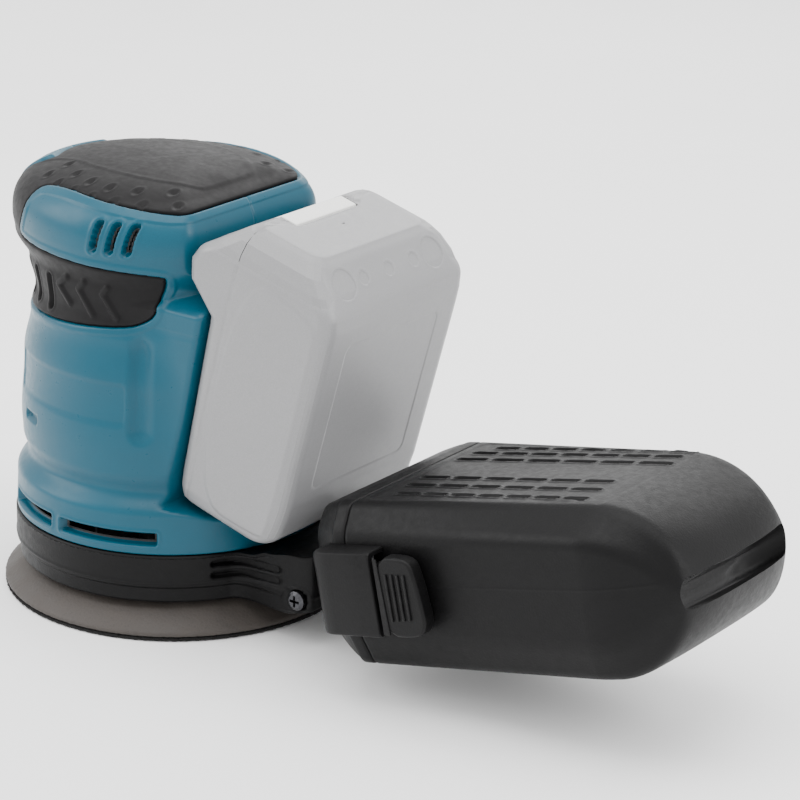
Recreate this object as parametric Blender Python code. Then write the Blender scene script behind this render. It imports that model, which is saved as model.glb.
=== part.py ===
"""Cordless random orbital sander with a slide-on battery and a rear dust box.

The origin is where the motor axis meets the sanding face. +Z is up, +X points to
the back of the tool (battery and dust box), so the user faces -X and the left
side is -Y. Sizes are written in millimetres; MM turns them into metres.
"""

import math

import bmesh
import bpy
from mathutils import Matrix, Vector

MM = 0.001
FIT_GAP = 0.3          # gap kept between neighbouring solids
RUN_GAP = 1.0          # gap round turning parts

# Pad and drive
PAD_RADIUS = 61.5
ORBIT_OFFSET = 1.4     # the pad centre stands this far from the motor axis
HOOK_THICKNESS = 1.2
FOAM_THICKNESS = 9.0
PAD_TOP_RADIUS = 48.0
DUST_HOLES = 8
DUST_HOLE_RADIUS = 4.5
DUST_HOLE_CIRCLE = 40.0
HUB_PLATE_THICKNESS = 2.4
HUB_RADIUS = 42.0
BRAKE_CLEARANCE = 3.8  # from the orbiting plate's edge to the brake ring
PAD_BOLT_RADIUS = 3.0
PAD_BOLT_HEAD_RADIUS = 6.5
PAD_HOLE_RADIUS = 9.0
SHAFT_RADIUS = 4.0
ARMATURE_RADIUS = 15.0
MOTOR_RADIUS = 21.0
MOTOR_WALL = 2.0
FAN_RADIUS = 40.0
COUNTERWEIGHT_RADIUS = 22.0
PAD_BEARING_RADIUS = 13.0
PAD_BEARING_HEIGHT = 9.0
BEARING_RADIUS = 11.0
BEARING_HEIGHT = 7.0

# Housing
WALL = 2.8
SHROUD_RADIUS = 55.9
SHROUD_BOTTOM = 11.0
SHROUD_TOP = 28.2
HOUSING_BOTTOM = SHROUD_TOP + FIT_GAP
BODY_HEIGHT = 152.0
HEAD_MIDDLE = 131.0    # height at which the head is widest
HEAD_REAR = 36.0
BLOCK_HALF_WIDTH = 39.5
RUBBER_THICKNESS = 1.5
SPLIT_GAP = 0.3

# Battery: leaning frame whose X leaves the tool and whose Z runs up the pack
BATTERY_TILT = math.radians(15.3)
BATTERY_X = 34.2
BATTERY_Z = 45.2
BATTERY_HALF_WIDTH = 37.5
BATTERY_LENGTH = 103.0
BATTERY_SEAM = 0.55    # where the pack's front cover meets its case
BATTERY_WALL = 1.8
SADDLE_X = 30.8        # back of the housing at the pack's lower end
SADDLE_TILT = math.radians(12.4)
DECK_HALF_WIDTH = 29.0
DECK_FRONT = -11.0
DECK_LOW = 2.0
DECK_TOP = 70.0
TRAY_TOP = 58.0
CELL_RADIUS = 8.8
CELL_PITCH = 18.0
CELL_LENGTH = 65.0
CELLS_IN_BANK = 5

# Dust box: frame along the spout, X to the back and Z normal to the box's top
BOX_TILT = math.radians(12.5)
BOX_X = 104.9
BOX_Z = 63.2
BOX_LENGTH = 121.0
BOX_HEIGHT = 54.5
BOX_TOP_HALF = 36.5
BOX_TOP_HALF_REAR = 29.0
BOX_HALF = 43.0
BOX_BOTTOM_HALF = 38.0
BOX_REAR_HALF = 31.0
BOX_WALL = 2.0
SPOUT_OUTER = 13.0
SPOUT_WALL = 2.0
SPOUT_DROP = 35.0      # spout axis below the box's top
SLEEVE_FRONT = -9.0    # sleeves on the nozzle's sides, along the box's frame
SLEEVE_BACK = 15.5
SLEEVE_LOW = -40.4
SLEEVE_HIGH = -12.2
SLEEVE_STAND = 8.4     # how far a sleeve stands out of the box's side
SLEEVE_WALL = 2.8
TAB_PIVOT = 12.0
TAB_STAND = 2.2        # pivot axis out of the box's side
PIN_RADIUS = 1.0


def smooth_min(a, b, blend):
    """The smaller of a and b, with a rounded change-over of the given width."""
    share = min(1.0, max(0.0, 0.5 + 0.5 * (b - a) / blend))
    return b + (a - b) * share - blend * share * (1 - share)


def smooth_max(a, b, blend):
    return -smooth_min(-a, -b, blend)


def eased(value, stations):
    """Reads a curve given as (position, size) stations, eased between them."""
    if value <= stations[0][0]:
        return stations[0][1]
    for (p0, s0), (p1, s1) in zip(stations, stations[1:]):
        if value <= p1:
            t = (value - p0) / (p1 - p0)
            return s0 + (s1 - s0) * t * t * (3 - 2 * t)
    return stations[-1][1]


# ---------------------------------------------------------------- mesh helpers

def material(name, colour, roughness, metallic=0.0):
    found = bpy.data.materials.get(name)
    if found:
        return found
    made = bpy.data.materials.new(name)
    made.use_nodes = True
    shader = made.node_tree.nodes["Principled BSDF"]
    shader.inputs["Base Color"].default_value = (*colour, 1.0)
    shader.inputs["Roughness"].default_value = roughness
    shader.inputs["Metallic"].default_value = metallic
    made.diffuse_color = (*colour, 1.0)
    return made


FINISHES = {
    "teal": ((0.02, 0.23, 0.30), 0.35, 0.0),
    "rubber": ((0.035, 0.033, 0.035), 0.6, 0.0),
    "black_plastic": ((0.022, 0.021, 0.022), 0.45, 0.0),
    "pack_grey": ((0.5, 0.5, 0.5), 0.4, 0.0),
    "button_white": ((0.82, 0.82, 0.79), 0.4, 0.0),
    "foam": ((0.12, 0.105, 0.095), 0.75, 0.0),
    "hook": ((0.03, 0.03, 0.032), 0.9, 0.0),
    "abrasive": ((0.25, 0.12, 0.07), 0.95, 0.0),
    "steel": ((0.55, 0.55, 0.56), 0.3, 1.0),
    "dark_steel": ((0.08, 0.08, 0.085), 0.35, 1.0),
    "copper": ((0.72, 0.35, 0.18), 0.35, 1.0),
    "carbon": ((0.03, 0.03, 0.03), 0.6, 0.0),
    "board_green": ((0.02, 0.12, 0.05), 0.5, 0.0),
    "cell_blue": ((0.05, 0.16, 0.35), 0.4, 0.0),
    "cast": ((0.4, 0.4, 0.41), 0.45, 1.0),
    "fan_nylon": ((0.05, 0.05, 0.055), 0.5, 0.0),
}


def finished(bm, name, finish, parent=None, smooth_angle=35.0):
    """Turns a bmesh in millimetres into a named object in metres."""
    bmesh.ops.recalc_face_normals(bm, faces=bm.faces)
    bmesh.ops.scale(bm, vec=(MM, MM, MM), verts=bm.verts)
    mesh = bpy.data.meshes.new(name)
    bm.to_mesh(mesh)
    bm.free()
    obj = bpy.data.objects.new(name, mesh)
    bpy.context.scene.collection.objects.link(obj)
    obj.data.materials.append(material(finish, *FINISHES[finish]))
    mesh.shade_smooth()
    mesh.set_sharp_from_angle(angle=math.radians(smooth_angle))
    obj.parent = parent
    return obj


def lofted(rings, halved=False):
    """A closed body through rings of points, with flat ends.

    halved splits each four-sided face, one way on the first half of the ring and
    the other way on the second, so that the two sides mirror each other.
    """
    bm = bmesh.new()
    made = [[bm.verts.new(p) for p in ring] for ring in rings]
    for lower, upper in zip(made, made[1:]):
        count = len(lower)
        for i in range(count):
            j = (i + 1) % count
            if not halved:
                bm.faces.new((lower[i], lower[j], upper[j], upper[i]))
            elif i < count // 2:
                bm.faces.new((lower[i], lower[j], upper[j]))
                bm.faces.new((lower[i], upper[j], upper[i]))
            else:
                bm.faces.new((lower[i], lower[j], upper[i]))
                bm.faces.new((lower[j], upper[j], upper[i]))
    bm.faces.new(list(reversed(made[0])))
    bm.faces.new(made[-1])
    return bm


def turned(profile, segments=32, centre=(0.0, 0.0)):
    """A solid of revolution about Z. A profile that starts on the axis is capped flat."""
    bm = bmesh.new()
    capped = profile[0][0] < 1e-6
    rings = [
        [
            bm.verts.new((
                centre[0] + radius * math.cos(2 * math.pi * i / segments),
                centre[1] + radius * math.sin(2 * math.pi * i / segments),
                height,
            ))
            for i in range(segments)
        ]
        for radius, height in (profile[1:-1] if capped else profile)
    ]
    pairs = list(zip(rings, rings[1:])) + ([] if capped else [(rings[-1], rings[0])])
    for a, b in pairs:
        for i in range(segments):
            j = (i + 1) % segments
            bm.faces.new((a[i], a[j], b[j], b[i]))
    if capped:
        bm.faces.new(list(reversed(rings[0])))
        bm.faces.new(rings[-1])
    return bm


def tube(outer, inner, low, high, segments=32, centre=(0.0, 0.0)):
    return turned([(inner, low), (outer, low), (outer, high), (inner, high)], segments, centre)


def rod(radius, low, high, segments=24, centre=(0.0, 0.0)):
    return turned([(0, low), (radius, low), (radius, high), (0, high)], segments, centre)


def extruded(outline, low, high, axis="Y"):
    """An outline of (u, v) points run along one axis from low to high."""
    place = {
        "X": lambda u, v, w: (w, u, v),
        "Y": lambda u, v, w: (u, w, v),
        "Z": lambda u, v, w: (u, v, w),
    }[axis]
    return lofted([[place(u, v, w) for u, v in outline] for w in (low, high)])


def block(x, y, z):
    """A box given by its (low, high) along each axis."""
    return extruded([(x[0], y[0]), (x[1], y[0]), (x[1], y[1]), (x[0], y[1])], z[0], z[1], "Z")


def rounded(outline, radius, steps=3):
    """The outline with each corner turned into an arc of about this radius."""
    made = []
    count = len(outline)
    for i in range(count):
        here = Vector(outline[i])
        back = Vector(outline[i - 1]) - here
        ahead = Vector(outline[(i + 1) % count]) - here
        turn = back.angle(ahead)
        reach = min(radius / math.tan(turn / 2), 0.45 * back.length, 0.45 * ahead.length)
        start = here + back.normalized() * reach
        end = here + ahead.normalized() * reach
        for k in range(steps + 1):
            t = k / steps
            made.append(tuple(start * (1 - t) ** 2 + here * 2 * t * (1 - t) + end * t * t))
    return made


def arc(centre, radius, start, end, steps):
    """Points on an arc, angles in degrees."""
    return [
        (
            centre[0] + radius * math.cos(math.radians(start + (end - start) * k / steps)),
            centre[1] + radius * math.sin(math.radians(start + (end - start) * k / steps)),
        )
        for k in range(steps + 1)
    ]


def bevelled(bm, width, segments=2, keep=None):
    """Rounds the sharp edges that keep() accepts."""
    bmesh.ops.recalc_face_normals(bm, faces=bm.faces)
    edges = [
        e for e in bm.edges
        if len(e.link_faces) == 2 and e.calc_face_angle(0.0) > math.radians(30)
        and (keep is None or keep(e))
    ]
    bmesh.ops.bevel(
        bm, geom=edges, offset=width, segments=segments, profile=0.5,
        affect="EDGES", clamp_overlap=True,
    )
    return bm


def moved(bm, offset=(0, 0, 0), turn=0.0, axis="Y"):
    """The bmesh turned about a row axis and then shifted."""
    bm.transform(Matrix.Translation(Vector(offset)) @ Matrix.Rotation(turn, 4, axis))
    return bm


def boolean(obj, bm, operation, parent=None):
    """Cuts obj with, joins it to, or keeps only what lies inside another body."""
    tool = finished(bm, "tool", "steel", parent)
    bpy.context.view_layer.update()
    modifier = obj.modifiers.new("shape", "BOOLEAN")
    modifier.operation = operation
    modifier.solver = "EXACT"
    modifier.object = tool
    graph = bpy.context.evaluated_depsgraph_get()
    result = bpy.data.meshes.new_from_object(obj.evaluated_get(graph))
    obj.modifiers.clear()
    old = obj.data
    obj.data = result
    bpy.data.meshes.remove(old)
    result.name = obj.name
    spare = tool.data
    bpy.data.objects.remove(tool)
    bpy.data.meshes.remove(spare)
    return obj


def cut(obj, bm, parent=None):
    return boolean(obj, bm, "DIFFERENCE", parent)


def join(obj, bm, parent=None):
    return boolean(obj, bm, "UNION", parent)


def within(obj, bm, parent=None):
    return boolean(obj, bm, "INTERSECT", parent)


def frame_empty(name, x, z, tilt):
    """A leaning frame: its X axis is row +X turned by tilt about Y."""
    empty = bpy.data.objects.new(name, None)
    bpy.context.scene.collection.objects.link(empty)
    empty.location = (x * MM, 0, z * MM)
    empty.rotation_euler = (0, tilt, 0)
    return empty


# ---------------------------------------------------------------- outer form

# Column radius towards the front (-X) and towards the sides, by height.
FRONT_REACH = (
    (28.0, 55.5), (42.0, 55.0), (49.0, 51.5), (55.5, 53.6), (62.0, 54.2), (84.0, 53.0),
    (100.0, 50.0), (108.0, 48.5), (118.0, 52.0), (126.0, 58.0), (131.0, 59.0),
)
SIDE_REACH = (
    (28.0, 55.5), (42.0, 55.0), (49.0, 50.3), (55.5, 51.8), (62.0, 51.8), (84.0, 50.2),
    (100.0, 47.5), (108.0, 45.5), (118.0, 46.0), (126.0, 48.6), (131.0, 49.0),
)
HEAD_POWER = 2.8       # squareness of the head's dome from side to middle
HEAD_DROP = 0.055      # how much the top falls per millimetre towards the back


def body_radius(angle, z, inset=0.0):
    """Distance from the motor axis to the housing's outer surface, less inset."""
    c, s = math.cos(angle), math.sin(angle)
    side = eased(z, SIDE_REACH)
    front = eased(z, FRONT_REACH) if c < 0 else side
    column = 1 / math.hypot(c / front, s / side)
    if c <= 1e-6:
        return column - inset
    plane = SADDLE_X + (z - BATTERY_Z) * math.tan(SADDLE_TILT) - FIT_GAP
    rise = eased(z, ((44.0, 0.0), (56.0, 1.0), (112.0, 1.0), (126.0, 0.0)))
    side_wall = BLOCK_HALF_WIDTH / max(abs(s), 1e-6)
    reach = smooth_max(column, smooth_min(side_wall, 90.0, 6.0) * rise, 5.0)
    head = eased(z, ((112.0, 0.0), (127.0, 1.0)))
    limit = plane + (HEAD_REAR - plane) * head
    # under the pack the base rises only as far as the pack's leaning lower end
    under = max(0.0, BATTERY_Z - 0.4 - inset - z) / math.tan(BATTERY_TILT)
    if under > 0:
        limit = max(limit, SADDLE_X - FIT_GAP + under)
    return smooth_min(reach, limit / c, 3.0) - inset


def body_ring(z, inset, count):
    return [
        (body_radius(a, z, inset) * math.cos(a), body_radius(a, z, inset) * math.sin(a), z)
        for a in (2 * math.pi * (i + 0.5) / count for i in range(count))
    ]


def body_solid(inset, bottom, count=32):
    """The housing's outer form, drawn in by inset, as one closed body."""
    levels = [38.8, 41.0, 43.0, 44.9, 47.5, 51.0, 55.5, 66.0, 84.0, 98.0, 106.0, 113.0, 119.0, 125.0,
              HEAD_MIDDLE]
    levels = [bottom] + [z for z in levels if z > bottom + 1.0]
    rings = [body_ring(z, inset, count) for z in levels]
    crown = BODY_HEIGHT - HEAD_MIDDLE - inset
    for k in range(1, 7):
        turn = math.radians(90 * k / 6.5)
        share = math.cos(turn) ** (2 / HEAD_POWER)
        rise = math.sin(turn) ** (2 / HEAD_POWER)
        ring = []
        for x, y, _ in body_ring(HEAD_MIDDLE, inset, count):
            drop = HEAD_DROP * max(0.0, x * share) * rise
            ring.append((x * share, y * share, HEAD_MIDDLE + crown * rise - drop))
        rings.append(ring)
    bm = lofted(rings, halved=True)
    bm.faces.ensure_lookup_table()
    bmesh.ops.poke(bm, faces=[bm.faces[-1]])
    return bm


def grip_outline(grow):
    """Side outline of the soft grip: top, front and the band under the head."""
    g = grow
    return (
        [(-80, 160), (60, 160), (60, 143.6 - g), (33, 143.6 - g), (16, 145.6 - g), (-8, 148.2 - g)]
        + [(-22, 147.2 - g), (-31, 142.5 - g), (-35.5 + g, 134), (-34 + g, 127.5 + g)]
        + [(-20, 125.6 + g), (8, 124.6 + g), (30, 123.4 + g), (35.0 + g, 122.0)]
        + [(33.5 + g, 113.0), (28.0 + g, 107.0 - g), (16, 104.2 - g), (-12, 101.0 - g), (-40, 100.0 - g)]
        + [(-80, 100.0 - g)]
    )


def slot_outline(width, height, steps=2):
    """A slot with round ends, standing upright about (0, 0)."""
    reach = height / 2 - width / 2
    return arc((0, reach), width / 2, 0, 180, steps) + arc((0, -reach), width / 2, 180, 360, steps)


# ---------------------------------------------------------------- housing

HOUSING_SCREWS = ((-38.0, 58.0), (-38.0, 92.0), (-6.0, 138.0), (28.0, 130.0))
SCREW_RADIUS = 1.8
SCREW_HEAD_RADIUS = 3.4
BOSS_RADIUS = 4.6
SCREW_REACH = 12.0     # how far a housing screw runs into the left half
COOLING_SLOTS = ((-129.0, -99.0), (-94.5, -56.0))   # degrees round the base, both sides
SLOT_LOW = 31.6
SLOT_HIGH = 36.2
HEAD_VENTS = (7.5, 13.5, 19.5)
HEAD_VENT_HEIGHT = 135.6
NECK_VENT_ANGLES = (-136.0, -124.5, -112.0)
NECK_VENT_HEIGHT = 111.0
PANEL_HALF_WIDTH = 14.0
PANEL_LOW = 105.0
PANEL_HIGH = 117.0


def half_space(side):
    """The space on one side of the split plane."""
    low, high = sorted((side * SPLIT_GAP / 2, side * 120.0))
    return block((-120, 160), (low, high), (0, 260))


def surface_y(x, z):
    """Half-width of the housing at a place on its split plane."""
    share, height = 1.0, z
    if z > HEAD_MIDDLE:
        rise = min(0.999, (z - HEAD_MIDDLE) / (BODY_HEIGHT - HEAD_MIDDLE))
        share = (1 - rise ** HEAD_POWER) ** (1 / HEAD_POWER)
        height = HEAD_MIDDLE
    y = 70.0
    while y > 0 and math.hypot(x, y) > share * body_radius(math.atan2(y, x), height):
        y -= 0.25
    return y


def merged_copy(obj):
    """The object's mesh as a bmesh in millimetres; the object itself is removed."""
    bm = bmesh.new()
    bm.from_mesh(obj.data)
    bmesh.ops.scale(bm, vec=(1 / MM,) * 3, verts=bm.verts)
    spare = obj.data
    bpy.data.objects.remove(obj)
    bpy.data.meshes.remove(spare)
    return bm


def cooling_slot(start, end, side):
    angles = [math.radians(side * (start + (end - start) * k / 6)) for k in range(7)]
    outline = [(44 * math.cos(a), 44 * math.sin(a)) for a in angles]
    outline += [(64 * math.cos(a), 64 * math.sin(a)) for a in reversed(angles)]
    return extruded(outline, SLOT_LOW, SLOT_HIGH, "Z")


def neck_vent(degrees, side):
    slot = extruded(slot_outline(3.0, 12.5), 36.0, 60.0, "X")
    turn = Matrix.Rotation(math.radians(-side * degrees), 4, "Z")
    slot.transform(turn @ Matrix.Translation((0, 0, NECK_VENT_HEIGHT)))
    return slot


def panel_window(clear):
    return block(
        (-80, -36), (-PANEL_HALF_WIDTH - clear, PANEL_HALF_WIDTH + clear),
        (PANEL_LOW - clear, PANEL_HIGH + clear),
    )


def along_y(bm, x, z):
    """Stands a body made about Z on its side, so that Z becomes Y."""
    bm.transform(Matrix.Translation((x, 0, z)) @ Matrix.Rotation(math.radians(-90), 4, "X"))
    return bm


def deck_room(frame):
    """The opening in the back of the housing that the pack's deck slides in."""
    clear = 0.8
    return block(
        (DECK_FRONT - clear, 14.0), (-DECK_HALF_WIDTH - clear, DECK_HALF_WIDTH + clear),
        (DECK_LOW - clear, 135.0),
    )


def housing_shell(battery_frame):
    """Both halves in one, before the split."""
    shell = finished(body_solid(0.0, HOUSING_BOTTOM), "shell", "teal")
    cut(shell, body_solid(WALL, HOUSING_BOTTOM - 5.0, 24))
    cut(shell, deck_room(battery_frame), battery_frame)
    seat = DECK_HALF_WIDTH + 2.5
    cut(shell, block((DECK_FRONT - 2.7, -7.7), (-seat, seat), (-0.6, TRAY_TOP + 0.6)), battery_frame)
    recess = finished(body_solid(-4.0, 60.0), "recess", "teal")
    cut(recess, body_solid(RUBBER_THICKNESS + 2 * FIT_GAP, 50.0))
    within(recess, extruded(grip_outline(FIT_GAP), -90, 90, "Y"))
    cut(shell, merged_copy(recess))
    for x, z in HOUSING_SCREWS:
        wall = min(surface_y(x + dx, z + dz) for dx in (-BOSS_RADIUS, BOSS_RADIUS)
                   for dz in (-BOSS_RADIUS, BOSS_RADIUS)) - 0.4
        join(shell, along_y(rod(BOSS_RADIUS, -wall, wall, 8), x, z))
        cut(shell, along_y(rod(SCREW_RADIUS + 0.3, -SCREW_REACH - 1.0, 60.0, 8), x, z))
        cut(shell, along_y(rod(SCREW_HEAD_RADIUS + 0.4, SCREW_REACH, 60.0, 10), x, z))
    for side in (-1, 1):
        for start, end in COOLING_SLOTS:
            cut(shell, cooling_slot(start, end, -side))
        for x in HEAD_VENTS:
            near, far = sorted((side * 36.0, side * 60.0))
            vent = extruded(slot_outline(3.0, 11.0), near, far, "Y")
            cut(shell, moved(vent, (x, 0, HEAD_VENT_HEIGHT), math.radians(8)))
        for degrees in NECK_VENT_ANGLES:
            cut(shell, neck_vent(degrees, side))
    cut(shell, panel_window(FIT_GAP))
    return shell


def grip_shell():
    grip = finished(body_solid(0.0, 60.0), "grip", "rubber")
    cut(grip, body_solid(RUBBER_THICKNESS, 50.0))
    within(grip, extruded(grip_outline(0.0), -90, 90, "Y"))
    for side in (-1, 1):
        for degrees in NECK_VENT_ANGLES:
            cut(grip, neck_vent(degrees, side))
    cut(grip, panel_window(FIT_GAP))
    return grip


def split(whole, names):
    """Parts a symmetrical shell into its left and right halves."""
    for name, side in zip(names, (-1, 1)):
        half = bpy.data.objects.new(name, whole.data.copy())
        half.data.name = name
        bpy.context.scene.collection.objects.link(half)
        within(half, half_space(side))
    spare = whole.data
    bpy.data.objects.remove(whole)
    bpy.data.meshes.remove(spare)


def housing_screw(name, x, z):
    shank = turned(
        [(0, -SCREW_REACH + 0.6), (SCREW_RADIUS, -SCREW_REACH + 0.6), (SCREW_RADIUS, SCREW_REACH + 0.3),
         (SCREW_HEAD_RADIUS, SCREW_REACH + 0.3), (SCREW_HEAD_RADIUS, SCREW_REACH + 2.0),
         (SCREW_HEAD_RADIUS * 0.7, SCREW_REACH + 2.7), (0, SCREW_REACH + 2.7)], 12,
    )
    screw = finished(along_y(shank, x, z), name, "dark_steel")
    cross_recess(screw, lambda bm: along_y(bm, x, z), SCREW_REACH + 1.2, SCREW_REACH + 4.0, 2.0)


def cross_recess(obj, place, low, high, reach):
    for turn in (0, 90):
        arm = block((-reach, reach), (-0.45, 0.45), (low, high))
        arm.transform(Matrix.Rotation(math.radians(turn), 4, "Z"))
        cut(obj, place(arm))


def control_buttons():
    panel = finished(body_solid(0.2, 98.0), "button_panel", "black_plastic")
    within(panel, block((-80, -44.5), (-PANEL_HALF_WIDTH, PANEL_HALF_WIDTH), (PANEL_LOW, PANEL_HIGH)))
    width = PANEL_HALF_WIDTH - 4.0
    for name, middle, finish in (("power_button", -0.5, "rubber"), ("speed_button", 0.5, "rubber")):
        y = middle * (width + 1.5)
        outline = rounded([(y - width / 2, PANEL_LOW + 2.2), (y + width / 2, PANEL_LOW + 2.2),
                           (y + width / 2, PANEL_HIGH - 2.2), (y - width / 2, PANEL_HIGH - 2.2)], 1.6, 2)
        grown = rounded([(y - width / 2 - 0.3, PANEL_LOW + 1.9), (y + width / 2 + 0.3, PANEL_LOW + 1.9),
                         (y + width / 2 + 0.3, PANEL_HIGH - 1.9), (y - width / 2 - 0.3, PANEL_HIGH - 1.9)],
                        1.8, 2)
        cut(panel, extruded(grown, -70, -30, "X"))
        button = finished(body_solid(-0.5, 98.0), name, finish)
        within(button, extruded(outline, -70, -42.5, "X"))
    finished(block((-40.6, -39.0), (-16.0, 16.0), (PANEL_LOW - 1.0, PANEL_HIGH + 4.0)),
             "switch_board", "board_green")


# ---------------------------------------------------------------- motor and pad

def drive_train():
    turned_parts = (
        ("motor_shaft", [(0, 26.0), (SHAFT_RADIUS, 26.0), (SHAFT_RADIUS, 106.0), (0, 106.0)], 20, "steel"),
        ("armature", [(SHAFT_RADIUS + 0.2, 58.0), (9.0, 54.5), (ARMATURE_RADIUS - 2, 56.0),
                      (ARMATURE_RADIUS - 1, 60.0), (ARMATURE_RADIUS, 60.0), (ARMATURE_RADIUS, 82.0),
                      (ARMATURE_RADIUS - 1, 82.0), (ARMATURE_RADIUS - 2, 86.0), (9.0, 87.5),
                      (SHAFT_RADIUS + 0.2, 85.0)], 24, "copper"),
        ("commutator", [(SHAFT_RADIUS + 0.2, 88.5), (8.5, 88.5), (8.5, 97.0), (SHAFT_RADIUS + 0.2, 97.0)],
         24, "copper"),
        ("lower_bearing", [(SHAFT_RADIUS + 0.2, 43.4), (BEARING_RADIUS, 43.4),
                           (BEARING_RADIUS, 43.4 + BEARING_HEIGHT), (SHAFT_RADIUS + 0.2, 43.4 + BEARING_HEIGHT)],
         24, "steel"),
        ("upper_bearing", [(SHAFT_RADIUS + 0.2, 99.0), (8.0, 99.0), (8.0, 104.0),
                           (SHAFT_RADIUS + 0.2, 104.0)], 24, "steel"),
    )
    for name, profile, segments, finish in turned_parts:
        finished(turned(profile, segments), name, finish)
    finished(tube(MOTOR_RADIUS, MOTOR_RADIUS - MOTOR_WALL, 52.0, 96.6, 32), "motor_can", "dark_steel")
    cap = turned([(9.6, 98.2), (MOTOR_RADIUS, 96.9), (MOTOR_RADIUS, 99.5), (14.0, 101.5),
                  (12.0, 107.6), (0, 107.6), (0, 106.6), (SHAFT_RADIUS + 1.0, 106.6),
                  (SHAFT_RADIUS + 1.0, 104.4), (8.3, 104.4), (8.3, 98.4)], 32)
    finished(cap, "motor_end_cap", "black_plastic")
    for name, side in (("brush_left", -1), ("brush_right", 1)):
        near, far = sorted((side * 8.8, side * (MOTOR_RADIUS - MOTOR_WALL - 0.4)))
        finished(block((-3.0, 3.0), (near, far), (89.5, 95.5)), name, "carbon")
    bracket = finished(turned([
        (0, 40.6), (13.5, 40.6), (13.5, 42.6), (47.0, 42.6), (47.0, 44.8), (20.5, 44.8),
        (20.5, 51.6), (BEARING_RADIUS + 0.3, 51.6), (BEARING_RADIUS + 0.3, 43.1), (0, 43.1)], 32),
        "bearing_bracket", "cast")
    cut(bracket, rod(SHAFT_RADIUS + RUN_GAP, 30, 60, 20))
    for k in range(6):
        window = arc((0, 0), 42.0, 8, 52, 2) + list(reversed(arc((0, 0), 25.0, 12, 48, 2)))
        piece = extruded(window, 41.5, 46.0, "Z")
        piece.transform(Matrix.Rotation(math.radians(60 * k), 4, "Z"))
        cut(bracket, piece)
    # the rear edge stays clear of the battery tray
    cut(bracket, block((21.8, 70.0), (-60, 60), (30, 60)))

    counterweight = finished(turned([
        (0, 15.0), (PAD_BEARING_RADIUS + 2.6, 15.0), (PAD_BEARING_RADIUS + 2.6, 30.0), (0, 30.0)], 28),
        "counterweight", "cast")
    lobe = arc((0, 0), COUNTERWEIGHT_RADIUS, 115, 245, 10) + [(-2.0, -12.0), (-2.0, 12.0)]
    join(counterweight, extruded(lobe, 16.0, 25.0, "Z"))
    bore = rod(PAD_BEARING_RADIUS + 0.3, 10.0, 16.0 + PAD_BEARING_HEIGHT + 0.4, 28, (ORBIT_OFFSET, 0))
    cut(counterweight, bore)
    cut(counterweight, rod(SHAFT_RADIUS + 0.3, 20.0, 40.0, 20))
    fan_wheel()
    cross = 16.0 + PAD_BEARING_HEIGHT
    finished(tube(PAD_BEARING_RADIUS, 5.4, 16.0, cross, 28, (ORBIT_OFFSET, 0)), "pad_bearing", "steel")


def fan_wheel():
    """A double-sided fan: cooling blades above the disc and dust blades below it."""
    fan = finished(turned([
        (SHAFT_RADIUS + 0.3, 30.3), (FAN_RADIUS, 30.3), (FAN_RADIUS, 32.0), (12.0, 32.0),
        (12.0, 35.0), (SHAFT_RADIUS + 0.3, 35.0)], 36), "fan", "fan_nylon")
    for count, low, high, inner, outer in ((9, 31.4, 38.6, 20.0, 38.5), (8, 22.0, 31.0, 26.5, 38.5)):
        for k in range(count):
            blade = block((inner, outer), (-0.9, 0.9), (low, high))
            lean = Matrix.Rotation(math.radians(22 if low > 30 else -18), 4, "Z")
            place = Matrix.Rotation(2 * math.pi * k / count, 4, "Z")
            start = Matrix.Translation((inner, 0, 0))
            blade.transform(place @ start @ lean @ start.inverted())
            join(fan, blade)


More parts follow.
